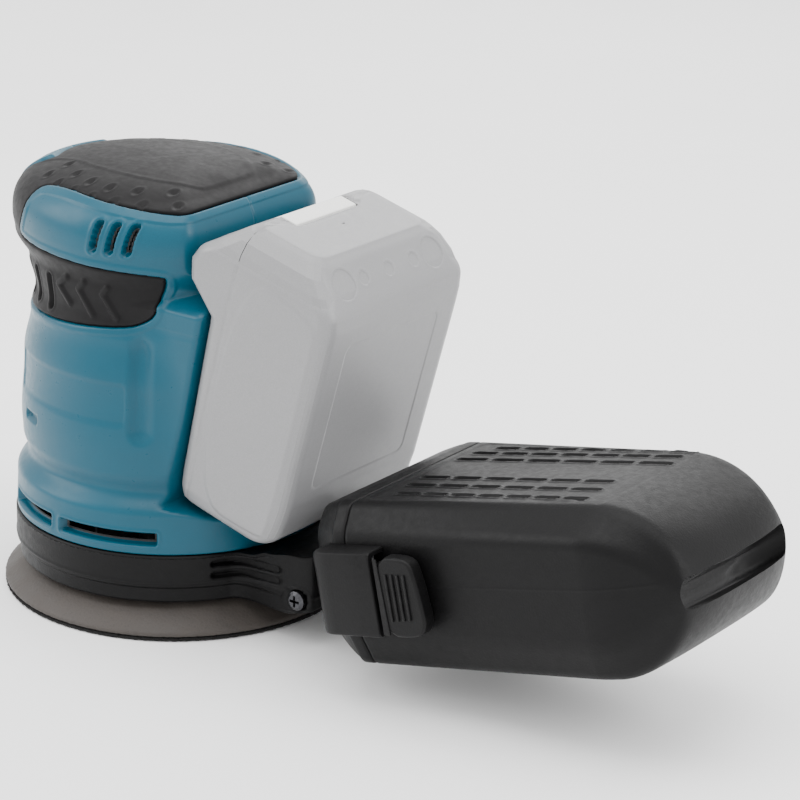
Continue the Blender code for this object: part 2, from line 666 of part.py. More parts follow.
def sanding_pad():
    """The pad is centred on the eccentric bore, not on the motor axis."""
    centre = (ORBIT_OFFSET, 0.0)
    base = HOOK_THICKNESS + FIT_GAP
    plate_low = base + FOAM_THICKNESS + FIT_GAP
    plate_high = plate_low + HUB_PLATE_THICKNESS
    hook = finished(rod(PAD_RADIUS, 0.0, HOOK_THICKNESS, 44, centre), "hook_face", "hook")
    foam = finished(turned([
        (PAD_HOLE_RADIUS, base), (PAD_RADIUS - 0.3, base), (PAD_RADIUS - 0.1, base + 1.4),
        (PAD_TOP_RADIUS + 5.5, base + FOAM_THICKNESS - 2.4), (PAD_TOP_RADIUS, base + FOAM_THICKNESS),
        (PAD_HOLE_RADIUS, base + FOAM_THICKNESS)], 36, centre), "pad_foam", "foam")
    plate = finished(rod(HUB_RADIUS, plate_low, plate_high, 36, centre), "pad_plate", "black_plastic")
    cut(plate, rod(PAD_BOLT_RADIUS + 0.3, 0, 30, 16, centre))
    for k in range(DUST_HOLES):
        turn = 2 * math.pi * (k + 0.5) / DUST_HOLES
        place = (centre[0] + DUST_HOLE_CIRCLE * math.cos(turn), DUST_HOLE_CIRCLE * math.sin(turn))
        cut(hook, rod(DUST_HOLE_RADIUS, -2, 6, 10, place))
        cut(foam, rod(DUST_HOLE_RADIUS, -2, 16, 10, place))
        slot = (centre[0] + 36.0 * math.cos(turn), 36.0 * math.sin(turn))
        cut(plate, rod(DUST_HOLE_RADIUS - 0.8, 6, 20, 10, slot))
    spindle_low = plate_high + FIT_GAP
    spindle = finished(turned([
        (0, spindle_low), (11.0, spindle_low), (11.0, 15.4), (5.1, 15.4), (5.1, 25.0), (0, 25.0)],
        24, centre), "pad_spindle", "steel")
    cut(spindle, rod(PAD_BOLT_RADIUS + 0.3, 0, 24.0, 16, centre))
    head_low = plate_low - 3.4
    bolt = finished(turned([
        (0, head_low), (PAD_BOLT_HEAD_RADIUS, head_low), (PAD_BOLT_HEAD_RADIUS, plate_low - FIT_GAP),
        (PAD_BOLT_RADIUS, plate_low - FIT_GAP), (PAD_BOLT_RADIUS, 23.4), (0, 23.4)], 20, centre),
        "pad_bolt", "dark_steel")
    hexagon = [(centre[0] + x, y) for x, y in arc((0, 0), 2.6, 0, 300, 5)]
    cut(bolt, extruded(hexagon, head_low - 2, head_low + 2.0, "Z"))


def dust_shroud():
    ring = finished(turned([
        (0, SHROUD_BOTTOM), (SHROUD_RADIUS - 1.2, SHROUD_BOTTOM), (SHROUD_RADIUS - 1.2, 16.8),
        (SHROUD_RADIUS, 17.6), (SHROUD_RADIUS, SHROUD_TOP), (0, SHROUD_TOP)], 48),
        "dust_shroud", "black_plastic")
    outer = ((44.0, 25.5, 11.6, 27.8), (57.0, 25.1, 11.0, 27.9), (62.0, 25.0, 10.9, 30.8), (74.0, 24.5, 10.4, 32.4),
             (79.0, 20.5, 12.5, 33.2), (83.0, 15.0, 14.5, 33.6))
    join(ring, duct(outer, 4.0))
    join(ring, spout_rod(SPOUT_OUTER, -30.0, -14.0))
    cut(ring, rod(SHROUD_RADIUS - 2.6, 5.0, SHROUD_TOP - 2.2, 44))
    cut(ring, rod(FAN_RADIUS + 3.0, 20.0, 35.0, 36))
    inner = [(x, half - SPOUT_WALL, low + SPOUT_WALL, high - SPOUT_WALL) for x, half, low, high in outer]
    inner[0] = (42.0, inner[0][1], 13.8, SHROUD_TOP - 3.0)
    cut(ring, duct(inner, 3.0))
    cut(ring, spout_rod(SPOUT_OUTER - SPOUT_WALL, -27.0, -8.0))
    for side in (-1, 1):
        near, far = sorted((side * 20.5, side * 26.0))
        join(ring, along_y(rod(4.6, near, far, 16), 74.5, 17.0))
        near, far = sorted((side * 12.0, side * 30.0))
        cut(ring, along_y(rod(1.9, near, far, 12), 74.5, 17.0))
        near, far = sorted((side * 24.4, side * 30.0))
        cut(ring, along_y(rod(3.7, near, far, 16), 74.5, 17.0))
        for z in (19.0, 23.0):
            near, far = sorted((side * 24.0, side * 28.0))
            slot = [(43.0, z), (66.0, z + 0.8), (66.0, z + 3.0), (43.0, z + 2.2)]
            cut(ring, extruded(rounded(slot, 1.0, 2), near, far, "Y"))
        name = "shroud_screw_left" if side < 0 else "shroud_screw_right"
        screw = finished(along_y(turned([
            (0, 21.0), (1.6, 21.0), (1.6, 24.7), (3.4, 24.7), (3.4, 26.2), (2.4, 26.9), (0, 26.9)], 14), 0, 0),
            name, "dark_steel")
        if side < 0:
            screw.data.transform(Matrix.Rotation(math.pi, 4, "Z"))
        screw.data.transform(Matrix.Translation((74.5 * MM, 0, 17.0 * MM)))
        for turn in (0, 90):
            arm = block((-2.0, 2.0), sorted((side * 25.4, side * 30.0)), (-0.45, 0.45))
            arm.transform(Matrix.Translation((74.5, 0, 17.0)) @ Matrix.Rotation(math.radians(turn), 4, "Y"))
            cut(screw, arm)
    finished(tube(SHROUD_RADIUS - 2.9, HUB_RADIUS + ORBIT_OFFSET + BRAKE_CLEARANCE, SHROUD_BOTTOM + 0.3, 13.4, 40),
             "brake_ring", "rubber")


def duct(stations, radius):
    """A duct through rounded rectangles given as (x, half width, low, high)."""
    rings = []
    for x, half, low, high in stations:
        outline = rounded([(-half, low), (half, low), (half, high), (-half, high)], radius, 3)
        rings.append([(x, y, z) for y, z in outline])
    return lofted(rings)


def spout_point(along):
    """A point on the spout's axis, given how far along the dust box's frame it lies."""
    c, s = math.cos(BOX_TILT), math.sin(BOX_TILT)
    return Vector((BOX_X + along * c + SPOUT_DROP * s, 0, BOX_Z + along * s - SPOUT_DROP * c))


def spout_rod(radius, start, end, segments=28):
    bm = rod(radius, start, end, segments)
    bm.transform(Matrix.Translation(spout_point(0)) @ Matrix.Rotation(math.pi / 2 - BOX_TILT, 4, "Y"))
    return bm


# ---------------------------------------------------------------- battery

# height, front, back and how much narrower than the pack's half width
PACK_RINGS = (
    (0.7, 1.0, 31.0, 4.0), (2.4, -2.6, 34.2, 1.3), (6.5, -3.6, 38.4, 0.2), (12.0, -4.0, 39.6, 0.0),
    (19.0, -4.3, 40.3, 0.0), (69.5, -6.8, 40.5, 0.0), (78.5, -18.0, 40.5, 0.0), (84.5, -19.4, 40.4, 0.1),
    (89.5, -17.2, 39.6, 0.3), (95.0, -11.0, 35.0, 1.1), (99.0, -6.6, 30.4, 2.9), (101.8, -3.4, 27.4, 5.9),
    (BATTERY_LENGTH, -0.6, 24.5, 9.5),
)
# height, back and how much narrower than the inside of the pack's walls
PACK_INSIDE = (
    (2.7, 33.0, 3.7), (6.0, 36.6, 0.5), (12.0, 38.2, 0.0), (19.0, 38.7, 0.0), (87.0, 38.5, 0.2),
    (92.5, 36.0, 0.9), (96.4, 32.4, 1.8),
)


def pack_section(height, front, back, half, corner):
    corner = min(corner, (back - front) / 3)
    outline = rounded([(front, -half), (back, -half), (back, half), (front, half)], corner, 3)
    return [(x, y, height) for x, y in outline]


def pack_form():
    """The pack's body by rounded sections up its length."""
    return lofted([pack_section(height, front, back, BATTERY_HALF_WIDTH - less, 5.0)
                   for height, front, back, less in PACK_RINGS])


def battery_pack(frame):
    wide = BATTERY_HALF_WIDTH + 20.0
    seam = BATTERY_SEAM
    case = finished(pack_form(), "pack_case", "pack_grey", frame)
    cut(case, block((-60, seam + FIT_GAP / 2), (-wide, wide), (-20, 160)), frame)
    clear = BATTERY_HALF_WIDTH - BATTERY_WALL
    inside = lofted([pack_section(height, -2.0, back, clear - less, 3.0) for height, back, less in PACK_INSIDE])
    cut(case, inside, frame)
    cover = finished(pack_form(), "pack_cover", "pack_grey", frame)
    cut(cover, block((seam - FIT_GAP / 2, 80), (-wide, wide), (-20, 160)), frame)
    join(cover, block((DECK_FRONT, -2.0), (-DECK_HALF_WIDTH, DECK_HALF_WIDTH), (DECK_LOW, DECK_TOP)), frame)
    hollow = DECK_HALF_WIDTH - 4.6
    cut(cover, block((DECK_FRONT + 1.8, 4), (-hollow, hollow), (20.5, DECK_TOP - 3.0)), frame)
    cut(cover, block((-1.2, 4), (2.2 - clear, clear - 2.2), (5.0, 86.5)), frame)
    cut(cover, block((-15.5, 4), (3.7 - clear, clear - 3.7), (81.0, 86.4)), frame)
    for side in (-1, 1):
        near, far = sorted((side * (DECK_HALF_WIDTH - 2.4), side * (DECK_HALF_WIDTH + 4)))
        cut(cover, block((-9.9, -7.4), (near, far), (-2.0, DECK_TOP - 4.0)), frame)
        cut(cover, block((-9.4, -5.6), sorted((side * 7.4, side * 10.4)), (-2.0, 17.5)), frame)
    # button pocket, open upwards
    cut(cover, block((-12.2, 2.0), (-16.4, 16.4), (88.6, 120)), frame)
    cut(case, block((-3.0, 5.8), (-16.4, 16.4), (98.3, 120)), frame)
    finished(block((-7.6, -6.0), (-22.0, 22.0), (23.0, DECK_TOP - 5.0)), "pack_board", "board_green", frame)

    number = 0
    for bank in (0, 1):
        for k in range(CELLS_IN_BANK):
            number += 1
            cell = rod(CELL_RADIUS, -CELL_LENGTH / 2, CELL_LENGTH / 2, 12)
            along_y(cell, 10.9 + bank * (2 * CELL_RADIUS + 0.3), 14.0 + k * CELL_PITCH)
            finished(cell, f"cell_{number:02d}", "cell_blue", frame)

    finished(extruded([(-11.2, 91.2), (-0.4, 91.2), (-0.4, 101.0), (5.3, 101.0), (5.3, BATTERY_LENGTH + 0.2),
                       (-2.2, BATTERY_LENGTH + 0.2), (-11.2, 94.2)], -15.9, 15.9, "Y"),
             "latch_button", "button_white", frame)


def battery_tray(frame):
    """Rails and terminals in the tool that the pack's deck slides onto."""
    half = DECK_HALF_WIDTH + 1.0
    tray = finished(block((DECK_FRONT - 2.2, -8.2), (-half - 1.0, half + 1.0), (0.0, TRAY_TOP)),
                    "battery_tray", "black_plastic", frame)
    cut(tray, block((DECK_FRONT - 0.6, 4), (-half, half), (-2.0, 90.0)), frame)
    for side in (-1, 1):
        near, far = sorted((side * (DECK_HALF_WIDTH - 1.8), side * (half + 0.8)))
        join(tray, block((-9.3, -8.4), (near, far), (4.0, TRAY_TOP - 4.0)), frame)
    terminal = finished(block((DECK_FRONT + 0.2, -7.2), (-14.0, 14.0), (-3.4, 1.2)),
                        "terminal_block", "black_plastic", frame)
    for side in (-1, 1):
        join(terminal, block((-8.8, -7.4), sorted((side * 8.4, side * 9.4)), (-1.0, 15.5)), frame)


# ---------------------------------------------------------------- dust box

def box_section(x, inset=0.0):
    """The dust box's section at a distance along its frame, as (y, z) points."""
    top_end, end = BOX_LENGTH - 33.0, BOX_LENGTH
    t = min(1.0, max(0.0, (x - top_end) / (end - top_end)))
    top = -28.0 + 28.0 * math.sqrt(max(0.0, 1 - t * t)) * 0.93 + 28.0 * 0.07 * (1 - t)
    u = min(1.0, max(0.0, (x - top_end - 7.0) / (end - top_end - 7.0)))
    bottom = -28.0 - (BOX_HEIGHT - 28.0) * (0.93 * math.sqrt(max(0.0, 1 - u * u)) + 0.07 * (1 - u))
    along = min(1.0, max(0.0, x / top_end))
    half = BOX_HALF - 1.0 * along
    half -= (half - BOX_REAR_HALF) * t ** 1.6
    top_half = BOX_TOP_HALF + (BOX_TOP_HALF_REAR - BOX_TOP_HALF) * along
    top_half = top_half + (BOX_REAR_HALF - 2.0 - top_half) * t ** 1.2
    low_half = BOX_BOTTOM_HALF + (BOX_REAR_HALF - 2.0 - BOX_BOTTOM_HALF) * t ** 1.2
    top -= inset
    bottom += inset
    height = top - bottom
    drop, rise = min(9.0, 0.3 * height), min(12.0, 0.36 * height)
    half, top_half, low_half = half - inset, top_half - inset * 0.6, low_half - inset * 0.6
    corners = [(-top_half, top), (top_half, top), (half, top - drop), (half, bottom + rise),
               (low_half, bottom), (-low_half, bottom), (-half, bottom + rise), (-half, top - drop)]
    return rounded(corners, 2.5, 1)


BOX_STATIONS = (0.0, 30.0, 60.0, 0.727, 0.78, 0.83, 0.88, 0.92, 0.955, 0.98, 0.992)


def box_form(inset, start=None):
    stations = [s if s > 1 or s == 0 else s * BOX_LENGTH for s in BOX_STATIONS]
    rings = []
    for x in stations:
        place = x if start is None or x > 0 else start
        if inset:
            place = min(place, x * (BOX_LENGTH - 2 * inset) / BOX_LENGTH) if x > 60 else place
        rings.append([(place, y, z) for y, z in box_section(x, inset)])
    return lofted(rings)


def dust_box(frame):
    box = finished(box_form(0.0, 0.3), "dust_box", "black_plastic", frame)
    cut(box, box_form(BOX_WALL, -4.0), frame)
    for side in (-1, 1):
        for low, high in ((-16.2, -13.4), (-39.2, -36.4)):
            near, far = sorted((side * (BOX_HALF - 1.6), side * (BOX_HALF + 4.6)))
            join(box, block((TAB_PIVOT - 2.5, TAB_PIVOT + 2.5), (near, far), (low, high)), frame)
        pivot = (TAB_PIVOT, side * (BOX_HALF + TAB_STAND))
        cut(box, rod(PIN_RADIUS + FIT_GAP, -41.0, -11.0, 12, pivot), frame)
    filter_frame = finished(block((2.5, 6.0), (-33.0, 33.0), (-49.0, -6.0)), "dust_filter", "hook", frame)
    for k in range(-4, 5):
        cut(filter_frame, block((3.8, 9.0), (k * 7.0 - 2.0, k * 7.0 + 2.0), (-46.0, -9.0)), frame)


def latch_tabs(frame):
    for name, side in (("left", -1), ("right", 1)):
        near, far = side * (BOX_HALF + 0.8), side * (BOX_HALF + 4.0)
        low, high = sorted((near, far))
        tab = finished(block((2.0, 18.0), (low, high), (-35.8, -16.8)), f"latch_tab_{name}",
                       "black_plastic", frame)
        low, high = sorted((side * (BOX_HALF + 1.6), side * (BOX_HALF + 8.2)))
        grip = rounded([(16.2, -40.0), (30.4, -40.0), (33.6, -34.0), (31.0, -13.6), (16.2, -13.6)], 3.2, 3)
        join(tab, extruded(grip, low, high, "Y"), frame)
        pivot = (TAB_PIVOT, side * (BOX_HALF + TAB_STAND))
        cut(tab, rod(PIN_RADIUS + FIT_GAP, -41.0, -11.0, 12, pivot), frame)
        finished(rod(PIN_RADIUS, -39.0, -13.6, 12, pivot), f"latch_pin_{name}",
                 "steel", frame)


def dust_nozzle(frame):
    rings = []
    for x, shrink in ((-15.5, 9.0), (-12.0, 4.2), (-6.0, 0.6), (0.0, 0.0)):
        points = box_section(0.0)
        rings.append([(x, y * (1 - shrink / 60), z * (1 - shrink / 34) - shrink * 0.45) for y, z in points])
    nozzle = finished(lofted(rings), "dust_nozzle", "black_plastic", frame)
    inner = []
    for x, shrink in ((-12.5, 9.0), (-10.0, 4.2), (-5.0, 0.6), (3.0, 0.0)):
        points = box_section(0.0, BOX_WALL)
        inner.append([(x, y * (1 - shrink / 60), z * (1 - shrink / 34) - shrink * 0.45) for y, z in points])
    cut(nozzle, lofted(inner), frame)
    socket = rod(SPOUT_OUTER + 2.4, -24.0, -13.0, 28)
    socket.transform(Matrix.Translation((0, 0, -SPOUT_DROP)) @ Matrix.Rotation(math.pi / 2, 4, "Y"))
    join(nozzle, socket, frame)
    bore = rod(SPOUT_OUTER + 0.4, -30.0, -5.0, 28)
    bore.transform(Matrix.Translation((0, 0, -SPOUT_DROP)) @ Matrix.Rotation(math.pi / 2, 4, "Y"))
    cut(nozzle, bore, frame)


def side_sleeves(frame):
    """Channels on the nozzle's sides that the tabs slide into, open at the back and towards the box."""
    lip = 1.1
    for name, side in (("left", -1), ("right", 1)):
        near, far = sorted((side * (BOX_HALF + FIT_GAP), side * (BOX_HALF + SLEEVE_STAND)))
        body = bevelled(block((SLEEVE_FRONT, SLEEVE_BACK), (near, far), (SLEEVE_LOW, SLEEVE_HIGH)), 1.2, 1,
                        keep=lambda e: abs(e.verts[0].co.z - e.verts[1].co.z) < 0.1)
        sleeve = finished(body, f"sleeve_{name}", "black_plastic", frame)
        near, far = sorted((side * (BOX_HALF - 2.0), side * (BOX_HALF + SLEEVE_STAND - SLEEVE_WALL)))
        cut(sleeve, block((0.0, SLEEVE_BACK + 4.0), (near, far), (SLEEVE_LOW + lip, SLEEVE_HIGH - lip)), frame)


def build():
    for obj in list(bpy.data.objects):
        bpy.data.objects.remove(obj)
    battery_frame = frame_empty("battery_frame", BATTERY_X, BATTERY_Z, BATTERY_TILT)
    box_frame = frame_empty("box_frame", BOX_X, BOX_Z, -BOX_TILT)
    split(housing_shell(battery_frame), ("housing_left", "housing_right"))
    split(grip_shell(), ("grip_left", "grip_right"))
    for number, (x, z) in enumerate(HOUSING_SCREWS, 1):
        housing_screw(f"housing_screw_{number}", x, z)
    control_buttons()
    finished(block((-30.0, 20.0), (-21.0, 21.0), (111.0, 112.6)), "control_board", "board_green")
    drive_train()
    sanding_pad()
    dust_shroud()
    battery_pack(battery_frame)
    battery_tray(battery_frame)
    dust_nozzle(box_frame)
    side_sleeves(box_frame)
    dust_box(box_frame)
    latch_tabs(box_frame)


build()
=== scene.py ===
import math

import bmesh
import bpy
import numpy as np
from mathutils import Matrix, Vector


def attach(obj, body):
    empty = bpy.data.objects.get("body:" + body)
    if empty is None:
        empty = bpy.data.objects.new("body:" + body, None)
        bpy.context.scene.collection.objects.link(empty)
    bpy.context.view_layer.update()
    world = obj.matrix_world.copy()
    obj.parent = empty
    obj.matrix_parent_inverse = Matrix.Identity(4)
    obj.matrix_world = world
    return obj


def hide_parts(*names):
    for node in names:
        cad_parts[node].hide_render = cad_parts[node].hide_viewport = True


# Cordless random orbital sander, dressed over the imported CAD.
# Lengths below are millimetres; mm turns them into metres. -X is the front, +X the battery and dust box.

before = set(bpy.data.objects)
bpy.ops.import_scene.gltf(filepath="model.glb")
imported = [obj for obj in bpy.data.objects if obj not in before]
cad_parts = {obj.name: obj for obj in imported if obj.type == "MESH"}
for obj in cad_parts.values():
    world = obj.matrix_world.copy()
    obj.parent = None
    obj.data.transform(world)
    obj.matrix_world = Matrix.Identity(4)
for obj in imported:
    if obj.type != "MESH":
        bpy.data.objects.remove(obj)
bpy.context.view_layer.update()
mm = 0.001
print("frame in")


# small curves and distances

def ease(t):
    t = np.clip(t, 0.0, 1.0)
    return t * t * (3 - 2 * t)


def ramp(value, start, width):
    return ease((value - start) / width)


def eased(value, stations):
    spots, sizes = np.array(stations, float).T
    k = np.clip(np.searchsorted(spots, value, side="right") - 1, 0, len(spots) - 2)
    return sizes[k] + (sizes[k + 1] - sizes[k]) * ease((value - spots[k]) / (spots[k + 1] - spots[k]))


def softMin(a, b, blend):
    share = np.clip(0.5 + 0.5 * (b - a) / blend, 0, 1)
    return b + (a - b) * share - blend * share * (1 - share)


def softMax(a, b, blend):
    return -softMin(-a, -b, blend)


def averaged(values, reach):
    # running mean that keeps both ends where they are
    padded = np.pad(values, reach, mode="edge")
    kernel = np.ones(2 * reach + 1) / (2 * reach + 1)
    return np.convolve(padded, kernel, mode="valid")


def insideBy(u, v, outline):
    # how far a spot lies inside a closed outline, negative outside
    corners = np.array(outline, float)
    nearest = np.full(np.shape(u), 1e9)
    inside = np.zeros(np.shape(u), bool)
    for (u0, v0), (u1, v1) in zip(corners, np.roll(corners, -1, 0)):
        du, dv = u1 - u0, v1 - v0
        t = np.clip(((u - u0) * du + (v - v0) * dv) / (du * du + dv * dv + 1e-12), 0, 1)
        nearest = np.minimum(nearest, np.hypot(u - u0 - t * du, v - v0 - t * dv))
        crossing = (v0 > v) != (v1 > v)
        inside ^= crossing & (u < (u1 - u0) * (v - v0) / (v1 - v0 + 1e-12) + u0)
    return np.where(inside, nearest, -nearest)


def offLine(u, v, path):
    nearest = np.full(np.shape(u), 1e9)
    for (u0, v0), (u1, v1) in zip(path, path[1:]):
        du, dv = u1 - u0, v1 - v0
        t = np.clip(((u - u0) * du + (v - v0) * dv) / (du * du + dv * dv), 0, 1)
        nearest = np.minimum(nearest, np.hypot(u - u0 - t * du, v - v0 - t * dv))
    return nearest


def insidePill(u, v, halfLength, radius):
    # upright pill about (0, 0): positive inside
    return radius - np.hypot(u, np.maximum(np.abs(v) - halfLength, 0))


def insideBlock(u, v, halfU, halfV, corner):
    du, dv = np.abs(u) - halfU + corner, np.abs(v) - halfV + corner
    return corner - np.hypot(np.maximum(du, 0), np.maximum(dv, 0)) - np.minimum(np.maximum(du, dv), 0)


def cutCorners(outline, rounds=3):
    # rounds an outline's corners by cutting them off again and again
    points = np.array(outline, float)
    for _ in range(rounds):
        ahead = np.roll(points, -1, 0)
        points = np.stack([points * 0.75 + ahead * 0.25, points * 0.25 + ahead * 0.75], 1).reshape(-1, 2)
    return points


# meshes

def asPiece(name, points, faces, finishes, choice=None, sharp=None):
    mesh = bpy.data.meshes.new(name)
    mesh.from_pydata((np.asarray(points, float) * mm).tolist(), [], [list(map(int, f)) for f in faces])
    for finish in finishes if isinstance(finishes, (list, tuple)) else [finishes]:
        mesh.materials.append(finish)
    if choice is not None:
        mesh.polygons.foreach_set("material_index", np.asarray(choice, np.int32))
    mesh.validate()
    tidy = bmesh.new()
    tidy.from_mesh(mesh)
    loose = [v for v in tidy.verts if not v.link_faces]
    bmesh.ops.delete(tidy, geom=loose, context="VERTS")
    tidy.to_mesh(mesh)
    tidy.free()
    mesh.shade_smooth()
    if sharp:
        mesh.set_sharp_from_angle(angle=math.radians(sharp))
    piece = bpy.data.objects.new(name, mesh)
    bpy.context.scene.collection.objects.link(piece)
    return piece


def gridFaces(rows, columns, closed=True):
    v = np.arange(rows - 1)[:, None] * columns
    u = np.arange(columns if closed else columns - 1)[None, :]
    ahead = (u + 1) % columns
    return np.stack([v + u, v + ahead, v + columns + ahead, v + columns + u], -1).reshape(-1, 4)


def gridNormals(points):
    around = np.roll(points, -1, 1) - np.roll(points, 1, 1)
    along = np.gradient(points, axis=0)
    normal = np.cross(around, along)
    return normal / np.maximum(np.linalg.norm(normal, axis=2, keepdims=True), 1e-9)


def placed(points, matrix):
    m = np.array(matrix)
    return points @ m[:3, :3].T + m[:3, 3]


def leaning(x, z, degrees):
    # frame at (x, 0, z) in millimetres with its X turned down by degrees
    return Matrix.Translation((x, 0, z)) @ Matrix.Rotation(math.radians(degrees), 4, "Y")


def bevelled(piece, width, segments=3, angle=35):
    bevel = piece.modifiers.new("edges", "BEVEL")
    bevel.width, bevel.segments, bevel.limit_method = width * mm, segments, "ANGLE"
    bevel.angle_limit = math.radians(angle)
    bevel.harden_normals = True
    return piece


def baked(piece):
    # modifiers turned into plain mesh
    graph = bpy.context.evaluated_depsgraph_get()
    made = bpy.data.meshes.new_from_object(piece.evaluated_get(graph))
    piece.modifiers.clear()
    old = piece.data
    piece.data = made
    bpy.data.meshes.remove(old)
    made.name = piece.name
    return piece


def ranOut(name, outline, low, high, place, finish, width=0.6, segments=3):
    # an outline of (x, z) run along y, edges rounded
    count = len(outline)
    points = [(x, y, z) for y in (low, high) for x, z in outline]
    faces = [list(range(count)), list(range(2 * count - 1, count - 1, -1))]
    faces += [[(i + 1) % count, i, count + i, count + (i + 1) % count] for i in range(count)]
    piece = asPiece(name, placed(np.array(points), place), faces, finish, sharp=30)
    faced = bmesh.new()
    faced.from_mesh(piece.data)
    bmesh.ops.recalc_face_normals(faced, faces=faced.faces)
    faced.to_mesh(piece.data)
    faced.free()
    return baked(bevelled(piece, width, segments)) if width else piece


def spun(profile, columns=256):
    # profile of (radius, height), turned about Z, as a grid
    profile = np.array(profile, float)
    turn = 2 * np.pi * np.arange(columns) / columns
    return np.stack([profile[:, :1] * np.cos(turn), profile[:, :1] * np.sin(turn),
                     np.repeat(profile[:, 1:], columns, 1)], -1)


def fineProfile(profile, step=0.8, rounds=2):
    # a profile's corners rounded, then split into short steps
    points = np.array(profile, float)
    for _ in range(rounds):
        inner = np.stack([points[:-1] * 0.8 + points[1:] * 0.2, points[:-1] * 0.2 + points[1:] * 0.8], 1)
        points = np.vstack([points[:1], inner.reshape(-1, 2)[1:-1], points[-1:]])
    made = [points[:1]]
    for a, b in zip(points, points[1:]):
        parts = max(1, int(np.hypot(*(b - a)) / step))
        made.append(a + (b - a) * (np.arange(1, parts + 1) / parts)[:, None])
    return np.vstack(made)


# finishes

def shaderSetup(name):
    made = bpy.data.materials.new(name)
    made.use_nodes = True
    tree = made.node_tree
    return made, tree, tree.nodes["Principled BSDF"]


def addNode(tree, kind, inputs=None, **settings):
    node = tree.nodes.new(kind)
    for key, value in settings.items():
        setattr(node, key, value)
    for key, value in (inputs or {}).items():
        if isinstance(value, bpy.types.NodeSocket):
            tree.links.new(value, node.inputs[key])
        else:
            node.inputs[key].default_value = value
    return node


def noiseAt(tree, where, scale, detail=3.0, rough=0.55):
    return addNode(tree, "ShaderNodeTexNoise", {"Vector": where, "Scale": scale, "Detail": detail,
                                                "Roughness": rough}).outputs["Fac"]


def spread(tree, value, low, high, fromLow=0.3, fromHigh=0.7):
    node = addNode(tree, "ShaderNodeMapRange", {"Value": value, "From Min": fromLow, "From Max": fromHigh,
                                                "To Min": low, "To Max": high})
    return node.outputs["Result"]


def mixed(tree, share, a, b, mode="MIX"):
    node = addNode(tree, "ShaderNodeMix", data_type="RGBA", blend_type=mode)
    for key, value in ((0, share), (6, a), (7, b)):
        if isinstance(value, bpy.types.NodeSocket):
            tree.links.new(value, node.inputs[key])
        else:
            node.inputs[key].default_value = value
    return node.outputs[2]


def summed(tree, operation, a, b=0.5, c=0.0):
    node = addNode(tree, "ShaderNodeMath", operation=operation)
    for key, value in enumerate((a, b, c)):
        if isinstance(value, bpy.types.NodeSocket):
            tree.links.new(value, node.inputs[key])
        else:
            node.inputs[key].default_value = value
    return node.outputs[0]


def shaded(colour, by):
    return (*(min(1.0, c * by) for c in colour), 1.0)


def mouldedFinish(name, colour, rough=0.42, grain=0.35, grainSize=0.4, pits=0.0, wearAndHighlight=0.35, dust=0.0,
                  coat=0.0, sheen=0.0, mottle=0.06, specular=0.5, dustColour=(0.45, 0.42, 0.38)):
    # moulded plastic or rubber: fine spark-eroded grain, faint flow mottling, paler convex edges that are part wear
    # and part painted highlight, settled dust
    made, tree, shader = shaderSetup(name)
    where = addNode(tree, "ShaderNodeTexCoord").outputs["Object"]
    fine = noiseAt(tree, where, 1000 / grainSize, 2.0, 0.6)
    middle = noiseAt(tree, where, 420.0, 4.0)
    broad = noiseAt(tree, where, 34.0, 3.0)
    base = mixed(tree, spread(tree, broad, 0, 1), shaded(colour, 1 - mottle), shaded(colour, 1 + mottle))
    base = mixed(tree, spread(tree, fine, 0, 0.5), base, shaded(colour, 0.72))
    # convex edges painted paler: part edge wear, part painted highlight
    edge = spread(tree, addNode(tree, "ShaderNodeNewGeometry").outputs["Pointiness"], 0, wearAndHighlight, 0.52, 0.62)
    scuffAndHighlight = summed(tree, "MULTIPLY", edge, spread(tree, middle, 0.2, 1.0))
    base = mixed(tree, scuffAndHighlight, base, (*(min(1.0, c * 1.5 + 0.03) for c in colour), 1.0))
    if dust:
        up = addNode(tree, "ShaderNodeSeparateXYZ",
                     {"Vector": addNode(tree, "ShaderNodeNewGeometry").outputs["Normal"]}).outputs["Z"]
        settled = summed(tree, "MULTIPLY", spread(tree, up, 0, dust, 0.2, 1.0), spread(tree, middle, 0.1, 1.0))
        base = mixed(tree, settled, base, (*dustColour, 1.0))
    tree.links.new(base, shader.inputs["Base Color"])
    roughness = summed(tree, "ADD", spread(tree, middle, rough - 0.05, rough + 0.06),
                       spread(tree, broad, -0.03, 0.03))
    tree.links.new(roughness, shader.inputs["Roughness"])
    height = fine
    if pits:
        cells = addNode(tree, "ShaderNodeTexVoronoi", {"Vector": where, "Scale": 1000 / (grainSize * 1.7)})
        height = summed(tree, "MULTIPLY_ADD", cells.outputs["Distance"], pits, fine)
    bump = addNode(tree, "ShaderNodeBump", {"Height": height, "Strength": grain, "Distance": 0.00006})
    tree.links.new(bump.outputs["Normal"], shader.inputs["Normal"])
    shader.inputs["Specular IOR Level"].default_value = specular
    if coat:
        shader.inputs["Coat Weight"].default_value = coat
        shader.inputs["Coat Roughness"].default_value = 0.25
    if sheen:
        shader.inputs["Sheen Weight"].default_value = sheen
        shader.inputs["Sheen Roughness"].default_value = 0.5
    return made


